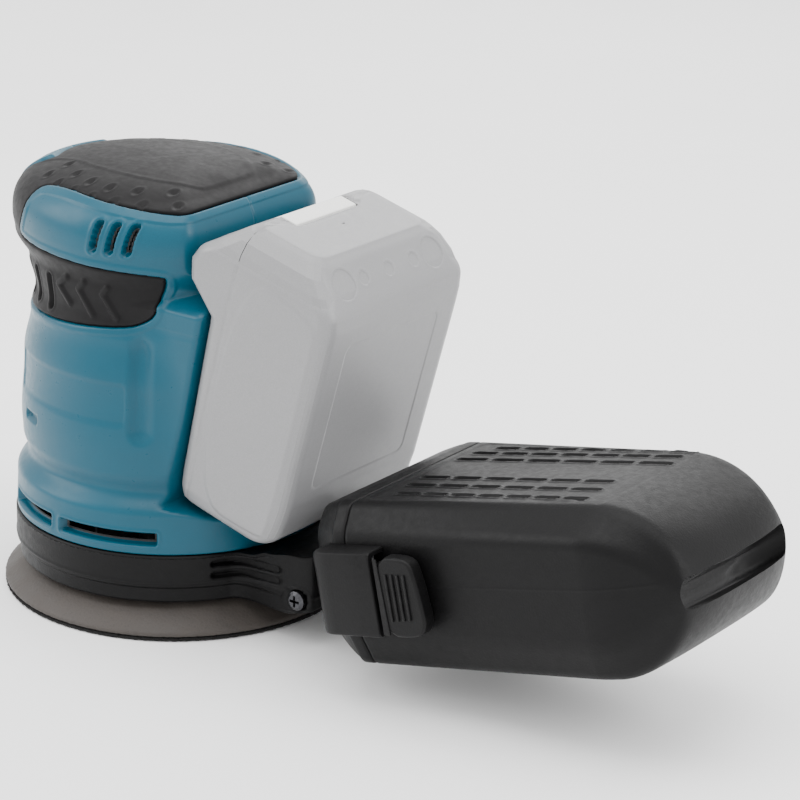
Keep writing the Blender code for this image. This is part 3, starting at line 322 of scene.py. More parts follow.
def metalFinish(name, colour, rough=0.32, turned=True, ringSize=0.35, tint=0.12):
    # turned metal shows fine rings about Z; cast metal shows a pitted skin
    made, tree, shader = shaderSetup(name)
    where = addNode(tree, "ShaderNodeTexCoord").outputs["Object"]
    stain = noiseAt(tree, where, 160.0, 4.0)
    if turned:
        ring = addNode(tree, "ShaderNodeTexWave", {"Vector": where, "Scale": 160 / ringSize, "Distortion": 1.2,
                                                   "Detail": 3.0}, wave_type="RINGS", rings_direction="Z")
        height = ring.outputs["Fac"]
    else:
        height = noiseAt(tree, where, 1600.0, 4.0, 0.7)
    base = mixed(tree, spread(tree, stain, 0, 1), shaded(colour, 1 - tint), shaded(colour, 1 + tint))
    tree.links.new(base, shader.inputs["Base Color"])
    tree.links.new(spread(tree, stain, rough - 0.08, rough + 0.12), shader.inputs["Roughness"])
    shader.inputs["Metallic"].default_value = 1.0
    bump = addNode(tree, "ShaderNodeBump", {"Height": height, "Strength": 0.25, "Distance": 0.00003})
    tree.links.new(bump.outputs["Normal"], shader.inputs["Normal"])
    return made


def bandedFinish(name, first, second, scale, rough, direction="Z", metallic=0.0, sharpness=0.15):
    # windings, label bands, fibres: two tones in soft bands with a raised profile
    made, tree, shader = shaderSetup(name)
    where = addNode(tree, "ShaderNodeTexCoord").outputs["Object"]
    wave = addNode(tree, "ShaderNodeTexWave", {"Vector": where, "Scale": scale, "Distortion": 0.6, "Detail": 2.0},
                   wave_type="BANDS", bands_direction=direction)
    stain = noiseAt(tree, where, 300.0, 3.0)
    base = mixed(tree, spread(tree, wave.outputs["Fac"], 0, 1, 0.5 - sharpness, 0.5 + sharpness),
                 (*first, 1.0), (*second, 1.0))
    base = mixed(tree, spread(tree, stain, 0, 0.3), base, shaded(first, 0.6))
    tree.links.new(base, shader.inputs["Base Color"])
    tree.links.new(spread(tree, stain, rough - 0.06, rough + 0.08), shader.inputs["Roughness"])
    shader.inputs["Metallic"].default_value = metallic
    bump = addNode(tree, "ShaderNodeBump", {"Height": wave.outputs["Fac"], "Strength": 0.5, "Distance": 0.0001})
    tree.links.new(bump.outputs["Normal"], shader.inputs["Normal"])
    return made


def boardFinish(name, colour):
    # solder mask over copper tracks, with pads
    made, tree, shader = shaderSetup(name)
    where = addNode(tree, "ShaderNodeTexCoord").outputs["Object"]
    tracks = addNode(tree, "ShaderNodeTexBrick", {"Vector": where, "Scale": 240.0, "Mortar Size": 0.03,
                                                  "Color1": shaded(colour, 0.9), "Color2": shaded(colour, 1.2),
                                                  "Mortar": shaded(colour, 2.2)})
    pads = addNode(tree, "ShaderNodeTexVoronoi", {"Vector": where, "Scale": 300.0, "Randomness": 0.4})
    base = mixed(tree, spread(tree, pads.outputs["Distance"], 1, 0, 0.16, 0.2), tracks.outputs["Color"],
                 (0.6, 0.58, 0.52, 1.0))
    tree.links.new(base, shader.inputs["Base Color"])
    tree.links.new(spread(tree, noiseAt(tree, where, 500.0), 0.3, 0.5), shader.inputs["Roughness"])
    bump = addNode(tree, "ShaderNodeBump", {"Height": tracks.outputs["Fac"], "Strength": 0.4, "Distance": 0.00005})
    tree.links.new(bump.outputs["Normal"], shader.inputs["Normal"])
    return made


def foamFinish(name, colour, look):
    # sanded foam: open pores painted darker as painted shade, grey dust rubbed in streaks round the cone
    made, tree, shader = shaderSetup(name)
    where = addNode(tree, "ShaderNodeTexCoord").outputs["Object"]
    pores = addNode(tree, "ShaderNodeTexVoronoi", {"Vector": where, "Scale": look["poreScale"]})
    fine = noiseAt(tree, where, 2400.0, 3.0, 0.7)
    rubbed = noiseAt(tree, where, 90.0, 5.0, 0.6)
    base = mixed(tree, spread(tree, rubbed, 0, 1, 0.35, 0.65), shaded(colour, 0.85), shaded(colour, 1.2))
    # pores painted darker: painted shade in the open pores
    base = mixed(tree, spread(tree, pores.outputs["Distance"], 0.55, 0, 0.05, 0.3), base, shaded(colour, 0.35))
    base = mixed(tree, spread(tree, fine, 0, 0.4), base, shaded(colour, 1.5))
    tree.links.new(base, shader.inputs["Base Color"])
    tree.links.new(spread(tree, rubbed, look["rough"] - 0.1, look["rough"] + 0.1), shader.inputs["Roughness"])
    height = summed(tree, "MULTIPLY_ADD", pores.outputs["Distance"], 1.2, fine)
    bump = addNode(tree, "ShaderNodeBump", {"Height": height, "Strength": look["depth"], "Distance": 0.00012})
    tree.links.new(bump.outputs["Normal"], shader.inputs["Normal"])
    shader.inputs["Specular IOR Level"].default_value = look["specular"]
    return made


colours = dict(
    teal=(0.0022, 0.066, 0.105), rubber=(0.0070, 0.0066, 0.0070), black=(0.0036, 0.0035, 0.0037),
    packGrey=(0.23, 0.23, 0.235), buttonWhite=(0.80, 0.80, 0.77), foam=(0.038, 0.032, 0.028),
    hook=(0.010, 0.0095, 0.0095), boardGreen=(0.012, 0.10, 0.045), cellBlue=(0.04, 0.13, 0.33),
    steel=(0.56, 0.56, 0.57), darkSteel=(0.06, 0.06, 0.065), copper=(0.72, 0.33, 0.16),
    cast=(0.42, 0.42, 0.43), fan=(0.045, 0.045, 0.05), label=(0.17, 0.173, 0.183),
)

tealPlastic = mouldedFinish("tealPlastic", colours["teal"], rough=0.33, grain=0.16, grainSize=0.32, wearAndHighlight=0.25,
                            mottle=0.05, specular=0.25)
softRubber = mouldedFinish("softRubber", colours["rubber"], rough=0.52, grain=0.3, grainSize=0.3, pits=0.4,
                           wearAndHighlight=0.25, specular=0.12)
blackPlastic = mouldedFinish("blackPlastic", colours["black"], rough=0.44, grain=0.6, grainSize=0.42, pits=0.9,
                             wearAndHighlight=0.4, specular=0.13)
# black inner plastic for inner parts, also laid on the housing's vent walls as painted shade
innerPlasticAndVentShade = mouldedFinish("innerPlasticAndVentShade", colours["black"], rough=0.5, grain=0.35, grainSize=0.5, wearAndHighlight=0.2)
packPlastic = mouldedFinish("packPlastic", colours["packGrey"], rough=0.36, grain=0.12, grainSize=0.35,
                            wearAndHighlight=0.1, mottle=0.02)
labelFilm = mouldedFinish("labelFilm", colours["label"], rough=0.3, grain=0.08, grainSize=0.2, wearAndHighlight=0.0,
                          mottle=0.03, coat=0.3)
buttonPlastic = mouldedFinish("buttonPlastic", colours["buttonWhite"], rough=0.4, grain=0.15, wearAndHighlight=0.1, mottle=0.02)
padFoam = foamFinish("padFoam", colours["foam"], dict(poreScale=900.0, rough=0.62, depth=0.35, specular=0.4))
hookNylon = foamFinish("hookNylon", colours["hook"], dict(poreScale=1300.0, rough=0.88, depth=1.0, specular=0.2))
brightSteel = metalFinish("brightSteel", colours["steel"], 0.28)
darkSteel = metalFinish("darkSteel", colours["darkSteel"], 0.34)
castMetal = metalFinish("castMetal", colours["cast"], 0.45, turned=False)
canSteel = metalFinish("canSteel", (0.3, 0.3, 0.31), 0.38, turned=False)
copperWire = bandedFinish("copperWire", colours["copper"], (0.4, 0.16, 0.07), 260.0, 0.35, "X", 1.0)
commutatorBars = bandedFinish("commutatorBars", colours["copper"], (0.12, 0.06, 0.04), 180.0, 0.3, "Y", 1.0, 0.05)
carbonBrush = mouldedFinish("carbonBrush", (0.03, 0.03, 0.031), rough=0.6, grain=0.8, grainSize=0.2, wearAndHighlight=0.1)
greenBoard = boardFinish("greenBoard", colours["boardGreen"])
cellWrap = bandedFinish("cellWrap", colours["cellBlue"], (0.05, 0.17, 0.42), 14.0, 0.3, "Y", 0.0, 0.4)
fanNylon = mouldedFinish("fanNylon", colours["fan"], rough=0.45, grain=0.3, grainSize=0.4, wearAndHighlight=0.3)
filterFleece = foamFinish("filterFleece", (0.5, 0.48, 0.44),
                          dict(poreScale=1800.0, rough=0.9, depth=0.8, specular=0.1))
print("finishes made")


def rides(piece, body, *nodes):
    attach(piece, body)
    if nodes:
        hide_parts(*nodes)
    return piece


# CAD nodes that stay in view keep their shape and get a real finish
carriedOver = {
    darkSteel: ("housing_screw_1", "housing_screw_2", "housing_screw_3", "housing_screw_4", "shroud_screw_left",
                "shroud_screw_right", "pad_bolt"),
    brightSteel: ("motor_shaft", "lower_bearing", "upper_bearing", "pad_bearing", "pad_spindle",
                  "latch_pin_left", "latch_pin_right"),
    canSteel: ("motor_can",),
    castMetal: ("bearing_bracket", "counterweight"),
    copperWire: ("armature",),
    commutatorBars: ("commutator",),
    carbonBrush: ("brush_left", "brush_right"),
    greenBoard: ("switch_board", "control_board", "pack_board"),
    cellWrap: tuple(f"cell_{k:02d}" for k in range(1, 11)),
    fanNylon: ("fan", "pad_plate"),
    innerPlasticAndVentShade: ("motor_end_cap", "battery_tray", "terminal_block"),
    blackPlastic: ("button_panel",),
    softRubber: ("brake_ring", "power_button", "speed_button"),
    packPlastic: ("pack_case", "pack_cover"),
    filterFleece: ("dust_filter",),
}
for material, names in carriedOver.items():
    for nodeName in names:
        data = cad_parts[nodeName].data
        data.materials.clear()
        data.materials.append(material)


# housing surface, the same curves as the CAD

shell = dict(
    top=152.0, headMiddle=131.0, headRear=36.0, headPower=2.8, headDrop=0.055, blockHalf=39.5,
    saddleX=30.8, saddleTilt=12.4, fit=0.3, packX=34.2, packZ=45.2, packTilt=15.3, wall=2.6,
    front=((28.0, 55.5), (42.0, 55.0), (49.0, 51.5), (55.5, 53.6), (62.0, 54.2), (84.0, 53.0),
           (100.0, 50.0), (108.0, 48.5), (118.0, 52.0), (126.0, 58.0), (131.0, 59.0)),
    side=((28.0, 55.5), (42.0, 55.0), (49.0, 50.3), (55.5, 51.8), (62.0, 51.8), (84.0, 50.2),
          (100.0, 47.5), (108.0, 45.5), (118.0, 46.0), (126.0, 48.6), (131.0, 49.0)),
    columns=640, crownRows=96,
)


def bodyReach(angle, z):
    c, s = np.cos(angle), np.sin(angle)
    side = eased(z, shell["side"])
    front = np.where(c < 0, eased(z, shell["front"]), side)
    column = 1 / np.hypot(c / front, s / side)
    plane = shell["saddleX"] + (z - shell["packZ"]) * math.tan(math.radians(shell["saddleTilt"])) - shell["fit"]
    rise = eased(z, ((44.0, 0.0), (56.0, 1.0), (112.0, 1.0), (126.0, 0.0)))
    sideWall = shell["blockHalf"] / np.maximum(np.abs(s), 1e-6)
    reach = softMax(column, softMin(sideWall, 90.0, 6.0) * rise, 5.0)
    head = eased(z, ((112.0, 0.0), (127.0, 1.0)))
    limit = plane + (shell["headRear"] - plane) * head
    under = np.maximum(0.0, shell["packZ"] - 0.4 - z) / math.tan(math.radians(shell["packTilt"]))
    limit = np.where(under > 0, np.maximum(limit, shell["saddleX"] - shell["fit"] + under), limit)
    behind = softMin(reach, limit / np.maximum(c, 1e-6), 3.0)
    return np.where(c <= 1e-6, column, behind)


def sideY(x, z):
    # half-width of the housing over a spot on its middle plane
    x, z = np.broadcast_arrays(np.asarray(x, float), np.asarray(z, float))
    rise = np.clip((z - shell["headMiddle"]) / (shell["top"] - shell["headMiddle"]), 0, 0.999)
    share = (1 - rise ** shell["headPower"]) ** (1 / shell["headPower"])
    level = np.minimum(z, shell["headMiddle"])
    low, high = np.zeros(x.shape), np.full(x.shape, 70.0)
    for _ in range(30):
        y = (low + high) / 2
        inside = np.hypot(x, y) < share * bodyReach(np.arctan2(y, x), level)
        low, high = np.where(inside, y, low), np.where(inside, high, y)
    return low


def bodyGrid():
    turn = 2 * np.pi * (np.arange(shell["columns"]) + 0.5) / shell["columns"]
    levels = np.concatenate([
        [28.5, 28.7, 29.2, 29.9], np.arange(30.6, 38.0, 0.38), np.arange(38.0, 56.5, 0.7),
        np.arange(56.5, 101.0, 0.85), np.arange(101.0, shell["headMiddle"], 0.45)])
    rows = []
    for inset, z in ((shell["wall"], 31.0), (shell["wall"], 28.6)):
        reach = bodyReach(turn, np.full_like(turn, z)) - inset
        rows.append(np.stack([reach * np.cos(turn), reach * np.sin(turn), np.full_like(turn, z)], -1))
    innerRows = len(rows)
    for z in levels:
        rounding = 0.5 * (1 - math.sqrt(max(0.0, 1 - max(0.0, 1 - (z - 28.5) / 0.7) ** 2)))
        reach = bodyReach(turn, np.full_like(turn, z)) - rounding
        rows.append(np.stack([reach * np.cos(turn), reach * np.sin(turn), np.full_like(turn, z)], -1))
    middle = bodyReach(turn, np.full_like(turn, shell["headMiddle"]))
    crown = shell["top"] - shell["headMiddle"]
    for k in range(shell["crownRows"]):
        swing = (k / (shell["crownRows"] - 0.6)) ** 1.25 * math.pi / 2
        share = max(math.cos(swing), 0.0) ** (2 / shell["headPower"])
        rise = math.sin(swing) ** (2 / shell["headPower"])
        x, y = share * middle * np.cos(turn), share * middle * np.sin(turn)
        drop = shell["headDrop"] * np.maximum(0.0, x) * rise
        rows.append(np.stack([x, y, shell["headMiddle"] + crown * rise - drop], -1))
    return np.array(rows), innerRows


grip = dict(
    # side outline of the soft grip: top, front of the head and the band round the neck
    outline=[(-80, 160), (60, 160), (60, 143.8), (31.0, 143.2), (27.0, 143.5), (9.3, 145.4), (-8.0, 146.6),
             (-19.6, 146.2), (-25.2, 144.8), (-28.6, 140.5), (-30.4, 135.0), (-33.4, 128.6), (-32.4, 127.2),
             (-25.4, 126.2), (-2.6, 125.3), (17.0, 124.6), (28.4, 123.6), (29.4, 122.6), (27.6, 117.5),
             (26.2, 113.4), (26.9, 111.6), (24.9, 108.6), (21.1, 106.2), (16.5, 104.7), (0.0, 103.2),
             (-20.0, 101.6), (-40.0, 100.6), (-80, 100.0)],
    depth=1.5, plateauDrop=0.55,
    dimples=(dict(count=6, start=(-27.0, 149.5), end=(21.0, 148.3)),
             dict(count=7, start=(-29.5, 147.1), end=(27.0, 145.3))),
    dimpleDepth=0.75, dimpleSize=1.25,
    chevrons=([(-7.5, 118.3), (-12.0, 115.0), (-6.6, 109.4)], [(0.4, 118.1), (-2.1, 115.5), (3.6, 107.3)],
              [(9.8, 117.6), (8.0, 115.2), (12.9, 107.4)]),
    chevronRise=0.9,
)
vents = dict(
    cooling=((-129.0, -99.0), (-94.5, -56.0)), coolingLow=31.6, coolingHigh=36.2,
    headX=(7.5, 13.5, 19.5), headZ=135.6, headHalf=4.0, headRadius=1.5, headLean=11.0,
    neckAngles=(-136.0, -124.5, -112.0), neckZ=111.0, neckHalf=4.75, neckRadius=1.5, depth=3.4,
)
screwSpots = ((-38.0, 58.0), (-38.0, 92.0), (-6.0, 138.0), (28.0, 130.0))
panel = dict(half=14.3, low=104.7, high=117.3)


def gripMeasures(x, y, z):
    side = insideBy(x, z, cutCorners(grip["outline"], 2))
    # the middle of the head's front stays bare, as a shield
    shield = insideBlock(y, z - 137.5, 18.5, 10.0, 6.0)
    return np.minimum(side, np.where(x < -25, -shield, 1e9))


def neckSlot(angle, z, narrower=0.0):
    # deepest inside any of the neck vents, both sides
    best = np.full(np.shape(z), -1e9)
    for degrees in vents["neckAngles"]:
        for sign in (-1, 1):
            away = (angle - sign * math.radians(degrees) + np.pi) % (2 * np.pi) - np.pi
            best = np.maximum(best, insidePill(away * 47.5, z - vents["neckZ"], vents["neckHalf"],
                                               vents["neckRadius"] - narrower))
    return best


def headSlot(x, y, z):
    best = np.full(np.shape(z), -1e9)
    for spot in vents["headX"]:
        u = x - spot - (z - vents["headZ"]) * math.tan(math.radians(vents["headLean"]))
        best = np.maximum(best, insidePill(u, z - vents["headZ"], vents["headHalf"], vents["headRadius"]))
    return np.where(np.abs(y) > 20, best, -1e9)


def coolingSlot(angle, z):
    best = np.full(np.shape(z), -1e9)
    middleZ = (vents["coolingLow"] + vents["coolingHigh"]) / 2
    halfZ = (vents["coolingHigh"] - vents["coolingLow"]) / 2
    for start, end in vents["cooling"]:
        for sign in (-1, 1):
            away = (angle - sign * math.radians((start + end) / 2) + np.pi) % (2 * np.pi) - np.pi
            best = np.maximum(best, insideBlock(away * 55.3, z - middleZ, math.radians(end - start) / 2 * 55.3,
                                                halfZ, 0.9))
    return best


def screwHole(x, y, z):
    best = np.full(np.shape(z), -1e9)
    for sx, sz in screwSpots:
        best = np.maximum(best, 3.9 - np.hypot(x - sx, z - sz))
    return np.where(y > 5, best, -1e9)


def panelWindow(x, y, z):
    inside = insideBlock(y, z - (panel["low"] + panel["high"]) / 2, panel["half"],
                         (panel["high"] - panel["low"]) / 2, 1.2)
    return np.where(x < -30, inside, -1e9)


def packCoords(x, z):
    c, s = math.cos(math.radians(shell["packTilt"])), math.sin(math.radians(shell["packTilt"]))
    return (x - shell["packX"]) * c - (z - shell["packZ"]) * s, (x - shell["packX"]) * s + (z - shell["packZ"]) * c


def buildHousing():
    points, innerRows = bodyGrid()
    normals = gridNormals(points)
    x, y, z = points[..., 0], points[..., 1], points[..., 2]
    angle = np.arctan2(y, x)
    inGrip = gripMeasures(x, y, z)
    neck, head = neckSlot(angle, z, 0.25), headSlot(x, y, z)
    cooling, screw, window = coolingSlot(angle, z), screwHole(x, y, z), panelWindow(x, y, z)

    # teal moulding
    d = -grip["depth"] * ramp(inGrip, -0.1, 0.45)
    lip = ramp(inGrip, -2.6, 0.5) * (1 - ramp(inGrip, -0.35, 0.3))
    d += 0.32 * lip
    openings = np.maximum.reduce([neck, head, cooling])
    raised = np.maximum(head, cooling)
    d += 0.3 * np.exp(-((raised + 0.7) / 0.5) ** 2)
    d -= vents["depth"] * ramp(openings, -0.15, 0.5)
    d -= 2.0 * ramp(screw, -0.1, 0.4) + 2.4 * ramp(window, -0.1, 0.4)
    plate = insideBlock(x + 9.0, z - 78.8, 27.4, 7.0, 1.6)
    plate = np.where((np.abs(y) > 10) & (z < 100), plate, -9)
    d -= 0.4 * ramp(plate, -0.2, 0.45)
    notch = np.where(y < 0, insidePill(z - 65.0, x + 25.4, 3.4, 1.25), -9)
    d -= 1.6 * ramp(notch, -0.2, 0.5)
    # scooped valley where the column meets the battery block
    across = np.abs(np.abs(angle) - math.radians(62.5)) * 50.5
    valley = insidePill(across, z - 88.0, 17.5, 4.6) * (1 - ramp(z, 97.0, 8.0))
    d -= 1.9 * ramp(np.where(z < 106, valley, -9), -0.8, 5.0)
    seam = np.minimum(np.abs(y), 9.0)
    d -= 0.28 * np.exp(-(seam / 0.35) ** 2) * (z > 29.5)
    deckX, deckZ = packCoords(x, z)
    well = np.minimum.reduce([29.8 - np.abs(y), deckX + 11.8, deckZ - 1.2, 70.0 - deckZ, np.where(x > 10, 9.0, -9.0)])
    d[:innerRows] = 0
    teal = points + normals * d[..., None]
    snap = (np.abs(np.abs(y) - 29.8) < 0.3) & (deckX > -12.4) & (x > 10) & (deckZ > 0.8) & (deckZ < 71)
    teal[..., 1] = np.where(snap, np.sign(y) * 29.8, teal[..., 1])
    gone = (openings > 0.95) | (screw > 0.35) | (window > 0.35) | (well > 0)
    gone[:innerRows] = False
    rows, columns = z.shape
    faces = gridFaces(rows, columns)
    keep = ~gone.reshape(-1)[faces].all(1)
    # deep under the grip nothing shows
    keep &= ~(inGrip.reshape(-1)[faces] > 4.0).all(1)
    # vent walls take the black inner plastic as painted shade, standing in for dark see-through holes; the deepest
    # faces are cut open
    paintedVentShade = (openings.reshape(-1)[faces] > 0.2).all(1).astype(int)
    housing = asPiece("housingShell", teal.reshape(-1, 3), faces[keep], [tealPlastic, innerPlasticAndVentShade], paintedVentShade[keep])
    rides(housing, "tool", "housing_left", "housing_right")

    # soft grip over it
    g = -1.7 + 1.7 * ramp(inGrip, 0.05, 0.75)
    roof = insideBy(x, np.abs(y), cutCorners([(-60, 17), (-30, 17), (-14, 22.5), (6, 23.5), (23.5, 15.5), (25, 8),
                                              (25.0, -30), (-60, -30)], 2))
    top = ramp(z, 144.0, 3.0)
    g -= 0.2 * top
    g -= grip["plateauDrop"] * (1 - ramp(roof, -1.6, 2.2)) * top
    g -= 0.022 * np.minimum(np.abs(y), 24.0) * ramp(roof, -1.0, 2.0) * top
    for row in grip["dimples"]:
        for k in range(row["count"]):
            t = k / (row["count"] - 1)
            cx, cz = (row["start"][i] + (row["end"][i] - row["start"][i]) * t for i in (0, 1))
            cy = float(sideY(cx, cz + shell["headDrop"] * max(0.0, cx)))
            slope = np.hypot(np.abs(y) - cy, z - cz)
            away = np.hypot((x - cx) / grip["dimpleSize"], slope / (grip["dimpleSize"] * 1.55))
            g -= grip["dimpleDepth"] * np.exp(-away ** 2 * 1.4) * (np.abs(y) > 10)
            g += 0.16 * np.exp(-((away - 1.55) / 0.35) ** 2) * (np.abs(y) > 10)
    for path in grip["chevrons"]:
        away = offLine(x, z, path)
        g += grip["chevronRise"] * (1 - ramp(away, 0.5, 1.0)) * (np.abs(y) > 20)
    neckWide = neckSlot(angle, z)
    g += 0.2 * np.exp(-((neckWide + 0.6) / 0.5) ** 2)
    g -= 2.6 * ramp(neckWide, -0.15, 0.5) + 1.8 * ramp(window, -0.1, 0.4) + 2.0 * ramp(screw, -0.1, 0.4)
    rubber = points + normals * g[..., None]
    hidden = (inGrip < -0.3) | (neckWide > 0.95) | (window > 0.35) | (screw > 0.35)
    keep = ~hidden.reshape(-1)[faces].all(1)
    keep &= (faces >= innerRows * columns).all(1)
    shown = [list(f) for f in faces[keep]]
    shown.append(list(range((rows - 1) * columns, rows * columns)))
    softGrip = asPiece("softGrip", rubber.reshape(-1, 3), shown, softRubber)
    rides(softGrip, "tool", "grip_left", "grip_right")


buildHousing()
print("housing and grip made")


def buildScrewWells():
    # deep counterbores down to the clamshell screws, on the right side
    points, faces, count = [], [], 48
    for sx, sz in screwSpots:
        turn = 2 * np.pi * np.arange(count) / count
        x, z = sx + 3.9 * np.cos(turn), sz + 3.9 * np.sin(turn)
        outer = sideY(x, z + shell["headDrop"] * np.maximum(0, x) * (z > shell["headMiddle"]))
        base = len(points)
        for y in (outer - 1.2, outer - 2.4, np.minimum(outer - 3, 30.0), np.full(count, 12.1)):
            points += list(np.stack([x, y, z], -1))
        points += list(np.stack([sx + 1.9 * np.cos(turn), np.full(count, 12.1), sz + 1.9 * np.sin(turn)], -1))
        faces += list(gridFaces(5, count)[:, ::-1] + base)
    rides(asPiece("screwWells", points, faces, tealPlastic), "tool")


buildScrewWells()


def buildDeckWell():
    # lining of the opening that the battery's deck slides in
    place = leaning(shell["packX"], shell["packZ"], shell["packTilt"])
    x0, half, top = -11.9, 29.8, 62.0
    floor = ranOut("deckWellFloor", [(x0 - 1.6, 58.8), (x0, 58.8), (x0, top), (x0 - 1.6, top)], -half, half, place,
                   innerPlasticAndVentShade, 0.3, 2)
    rides(floor, "tool")
    for name, sign in (("deckWellLeft", -1), ("deckWellRight", 1)):
        low, high = sorted((sign * half, sign * (half + 1.4)))
        side = [(x0, 59.0), (-5.6, 59.0), (-6.6, top), (x0, top)]
        wall = ranOut(name, side, low, high, place, innerPlasticAndVentShade, 0.3, 2)
        rides(wall, "tool")


buildDeckWell()


# dust shroud with its duct and spout

shroud = dict(
    radius=55.9, step=1.1, stepZ=17.0, bottom=11.0, top=28.2, ductHalf=25.2, ductEnd=80.0, hole=43.2,
    slots=((19.4, 22.0), (23.4, 26.0)), columns=720,
)


def shroudReach(turn, grow=0.0):
    c, s = np.cos(turn), np.sin(turn)
    half = shroud["ductHalf"] + grow
    wall = half / np.maximum(np.abs(s), 1e-6)
    end = (shroud["ductEnd"] + grow) / np.maximum(c, 1e-6)
    duct = np.where(c > 0, softMin(wall, end, 9.0), 0.0)
    return softMax(np.full_like(turn, shroud["radius"] + grow), duct, 7.0)


def buildShroud():
    turn = 2 * np.pi * (np.arange(shroud["columns"]) + 0.5) / shroud["columns"]
    c = np.cos(turn)
    reach = shroudReach(turn)
    out = reach * c                       # how far back the wall stands
    low = np.where(out > 55, eased(out, ((55.0, 11.0), (70.0, 10.6), (80.0, 12.6))), shroud["bottom"])
    high = np.where(out > 55, eased(out, ((55.0, 28.2), (62.0, 30.4), (74.0, 32.4), (80.0, 33.0))), shroud["top"])
    rows = []

    def addRow(inset, z):
        r = reach - inset
        rows.append(np.stack([r * c, r * np.sin(turn), np.broadcast_to(z, turn.shape)], -1))

    addRow(2.8, high - 2.4)
    addRow(2.8, low + 6.0)
    addRow(2.8, low + 0.3)
    addRow(2.5, low)
    for k in range(5):
        a = math.radians(90 * k / 4)
        addRow(shroud["step"] + 0.9 * (1 - math.sin(a)), low + 0.9 * (1 - math.cos(a)))
    heights = np.linspace(0.06, 0.955, 46)
    step = shroud["step"] * (1 - ramp(out, 60.0, 14.0))
    for share in heights:
        z = low + (high - low) * share
        addRow(step * (1 - ramp(z, shroud["stepZ"] - 0.7, 0.7)) - 0.25 * np.exp(-((z - 18.4) / 0.5) ** 2), z)
    for k in range(6):
        a = math.radians(90 * k / 5)
        addRow(0.9 * (1 - math.cos(a)), high - 0.9 * (1 - math.sin(a)))
    edge = reach - 0.9
    for share in np.linspace(0.04, 1.0, 16):
        r = edge + (shroud["hole"] - edge) * share
        px = r * c
        z = np.where(px > 55, eased(px, ((55.0, 28.2), (62.0, 30.4), (74.0, 32.4), (80.0, 33.0))), shroud["top"])
        rows.append(np.stack([px, r * np.sin(turn), z], -1))
    rows.append(np.stack([shroud["hole"] * c, shroud["hole"] * np.sin(turn), np.full_like(turn, 25.9)], -1))
    under = np.minimum(reach - 2.8, 53.0)
    rows.append(np.stack([under * c, under * np.sin(turn), np.full_like(turn, 25.9)], -1))
    points = np.array(rows)
    normals = gridNormals(points)
    x, y, z = points[..., 0], points[..., 1], points[..., 2]
    d = np.zeros(x.shape)
    slot = np.full(x.shape, -1e9)
    outer = np.zeros(x.shape, bool)
    outer[9:-19] = True
    for low0, high0 in shroud["slots"]:
        middle = (low0 + high0) / 2 + (x - 43.0) * 0.03
        slot = np.maximum(slot, insideBlock(x - 55.5, z - middle, 11.0, (high0 - low0) / 2, 0.9))
    slot = np.where(outer & (np.abs(y) > 18), slot, -1e9)
    d -= 2.2 * ramp(slot, -0.15, 0.5)
    boss = np.hypot(x - 74.5, z - 17.0)
    bossHere = outer & (np.abs(y) > 18)
    d += np.where(bossHere, 0.6 * (1 - ramp(boss, 4.6, 0.6)) - 1.6 * (1 - ramp(boss, 3.6, 0.4)), 0)
    points = points + normals * d[..., None]
    faces = gridFaces(*x.shape)
    gone = (slot > 0.42) | (bossHere & (boss < 1.8))
    keep = ~gone.reshape(-1)[faces].all(1)
    ring = asPiece("dustShroud", points.reshape(-1, 3), faces[keep], blackPlastic)
    rides(ring, "tool", "dust_shroud")
    # spout, in the dust box's leaning frame
    spoutPlace = leaning(box["x"], box["z"], -box["tilt"]) @ Matrix.Translation((0, 0, -box["spoutDrop"])) \
        @ Matrix.Rotation(math.radians(90), 4, "Y")
    profile = fineProfile([(11.0, -14.2), (12.9, -14.0), (12.9, -19.5), (13.9, -20.5), (14.4, -29.0), (17.5, -33.0),
                           (11.0, -33.0), (11.0, -14.2)], 1.0, 1)
    tube = placed(spun(profile, 128), spoutPlace)
    spout = asPiece("dustSpout", tube.reshape(-1, 3), gridFaces(len(profile), 128), blackPlastic)
    rides(spout, "tool")


box = dict(
    x=104.9, z=63.2, tilt=12.5, length=121.0, height=54.5, topHalf=36.5, topHalfRear=29.0, half=43.0,
    bottomHalf=38.0, rearHalf=31.0, wall=2.0, spoutDrop=35.0,
)


def boxCorners(x, inset=0.0):
    # half-widths and heights of the dust box's eight-sided section
    topEnd, end = box["length"] - 33.0, box["length"]
    t = np.clip((x - topEnd) / (end - topEnd), 0, 1)
    top = -28.0 + 28.0 * np.sqrt(np.maximum(0, 1 - t * t)) * 0.93 + 28.0 * 0.07 * (1 - t)
    u = np.clip((x - topEnd - 7.0) / (end - topEnd - 7.0), 0, 1)
    bottom = -28.0 - (box["height"] - 28.0) * (0.93 * np.sqrt(np.maximum(0, 1 - u * u)) + 0.07 * (1 - u))
    along = np.clip(x / topEnd, 0, 1)
    half = box["half"] - 1.0 * along
    half = half - (half - box["rearHalf"]) * t ** 1.6
    topHalf = box["topHalf"] + (box["topHalfRear"] - box["topHalf"]) * along
    topHalf = topHalf + (box["rearHalf"] - 2.0 - topHalf) * t ** 1.2
    lowHalf = box["bottomHalf"] + (box["rearHalf"] - 2.0 - box["bottomHalf"]) * t ** 1.2
    top, bottom = top - inset, bottom + inset
    height = top - bottom
    drop, rise = np.minimum(9.0, 0.3 * height), np.minimum(12.0, 0.36 * height)
    half, topHalf, lowHalf = half - inset, topHalf - inset * 0.6, lowHalf - inset * 0.6
    return [(-topHalf, top), (topHalf, top), (half, top - drop), (half, bottom + rise),
            (lowHalf, bottom), (-lowHalf, bottom), (-half, bottom + rise), (-half, top - drop)]


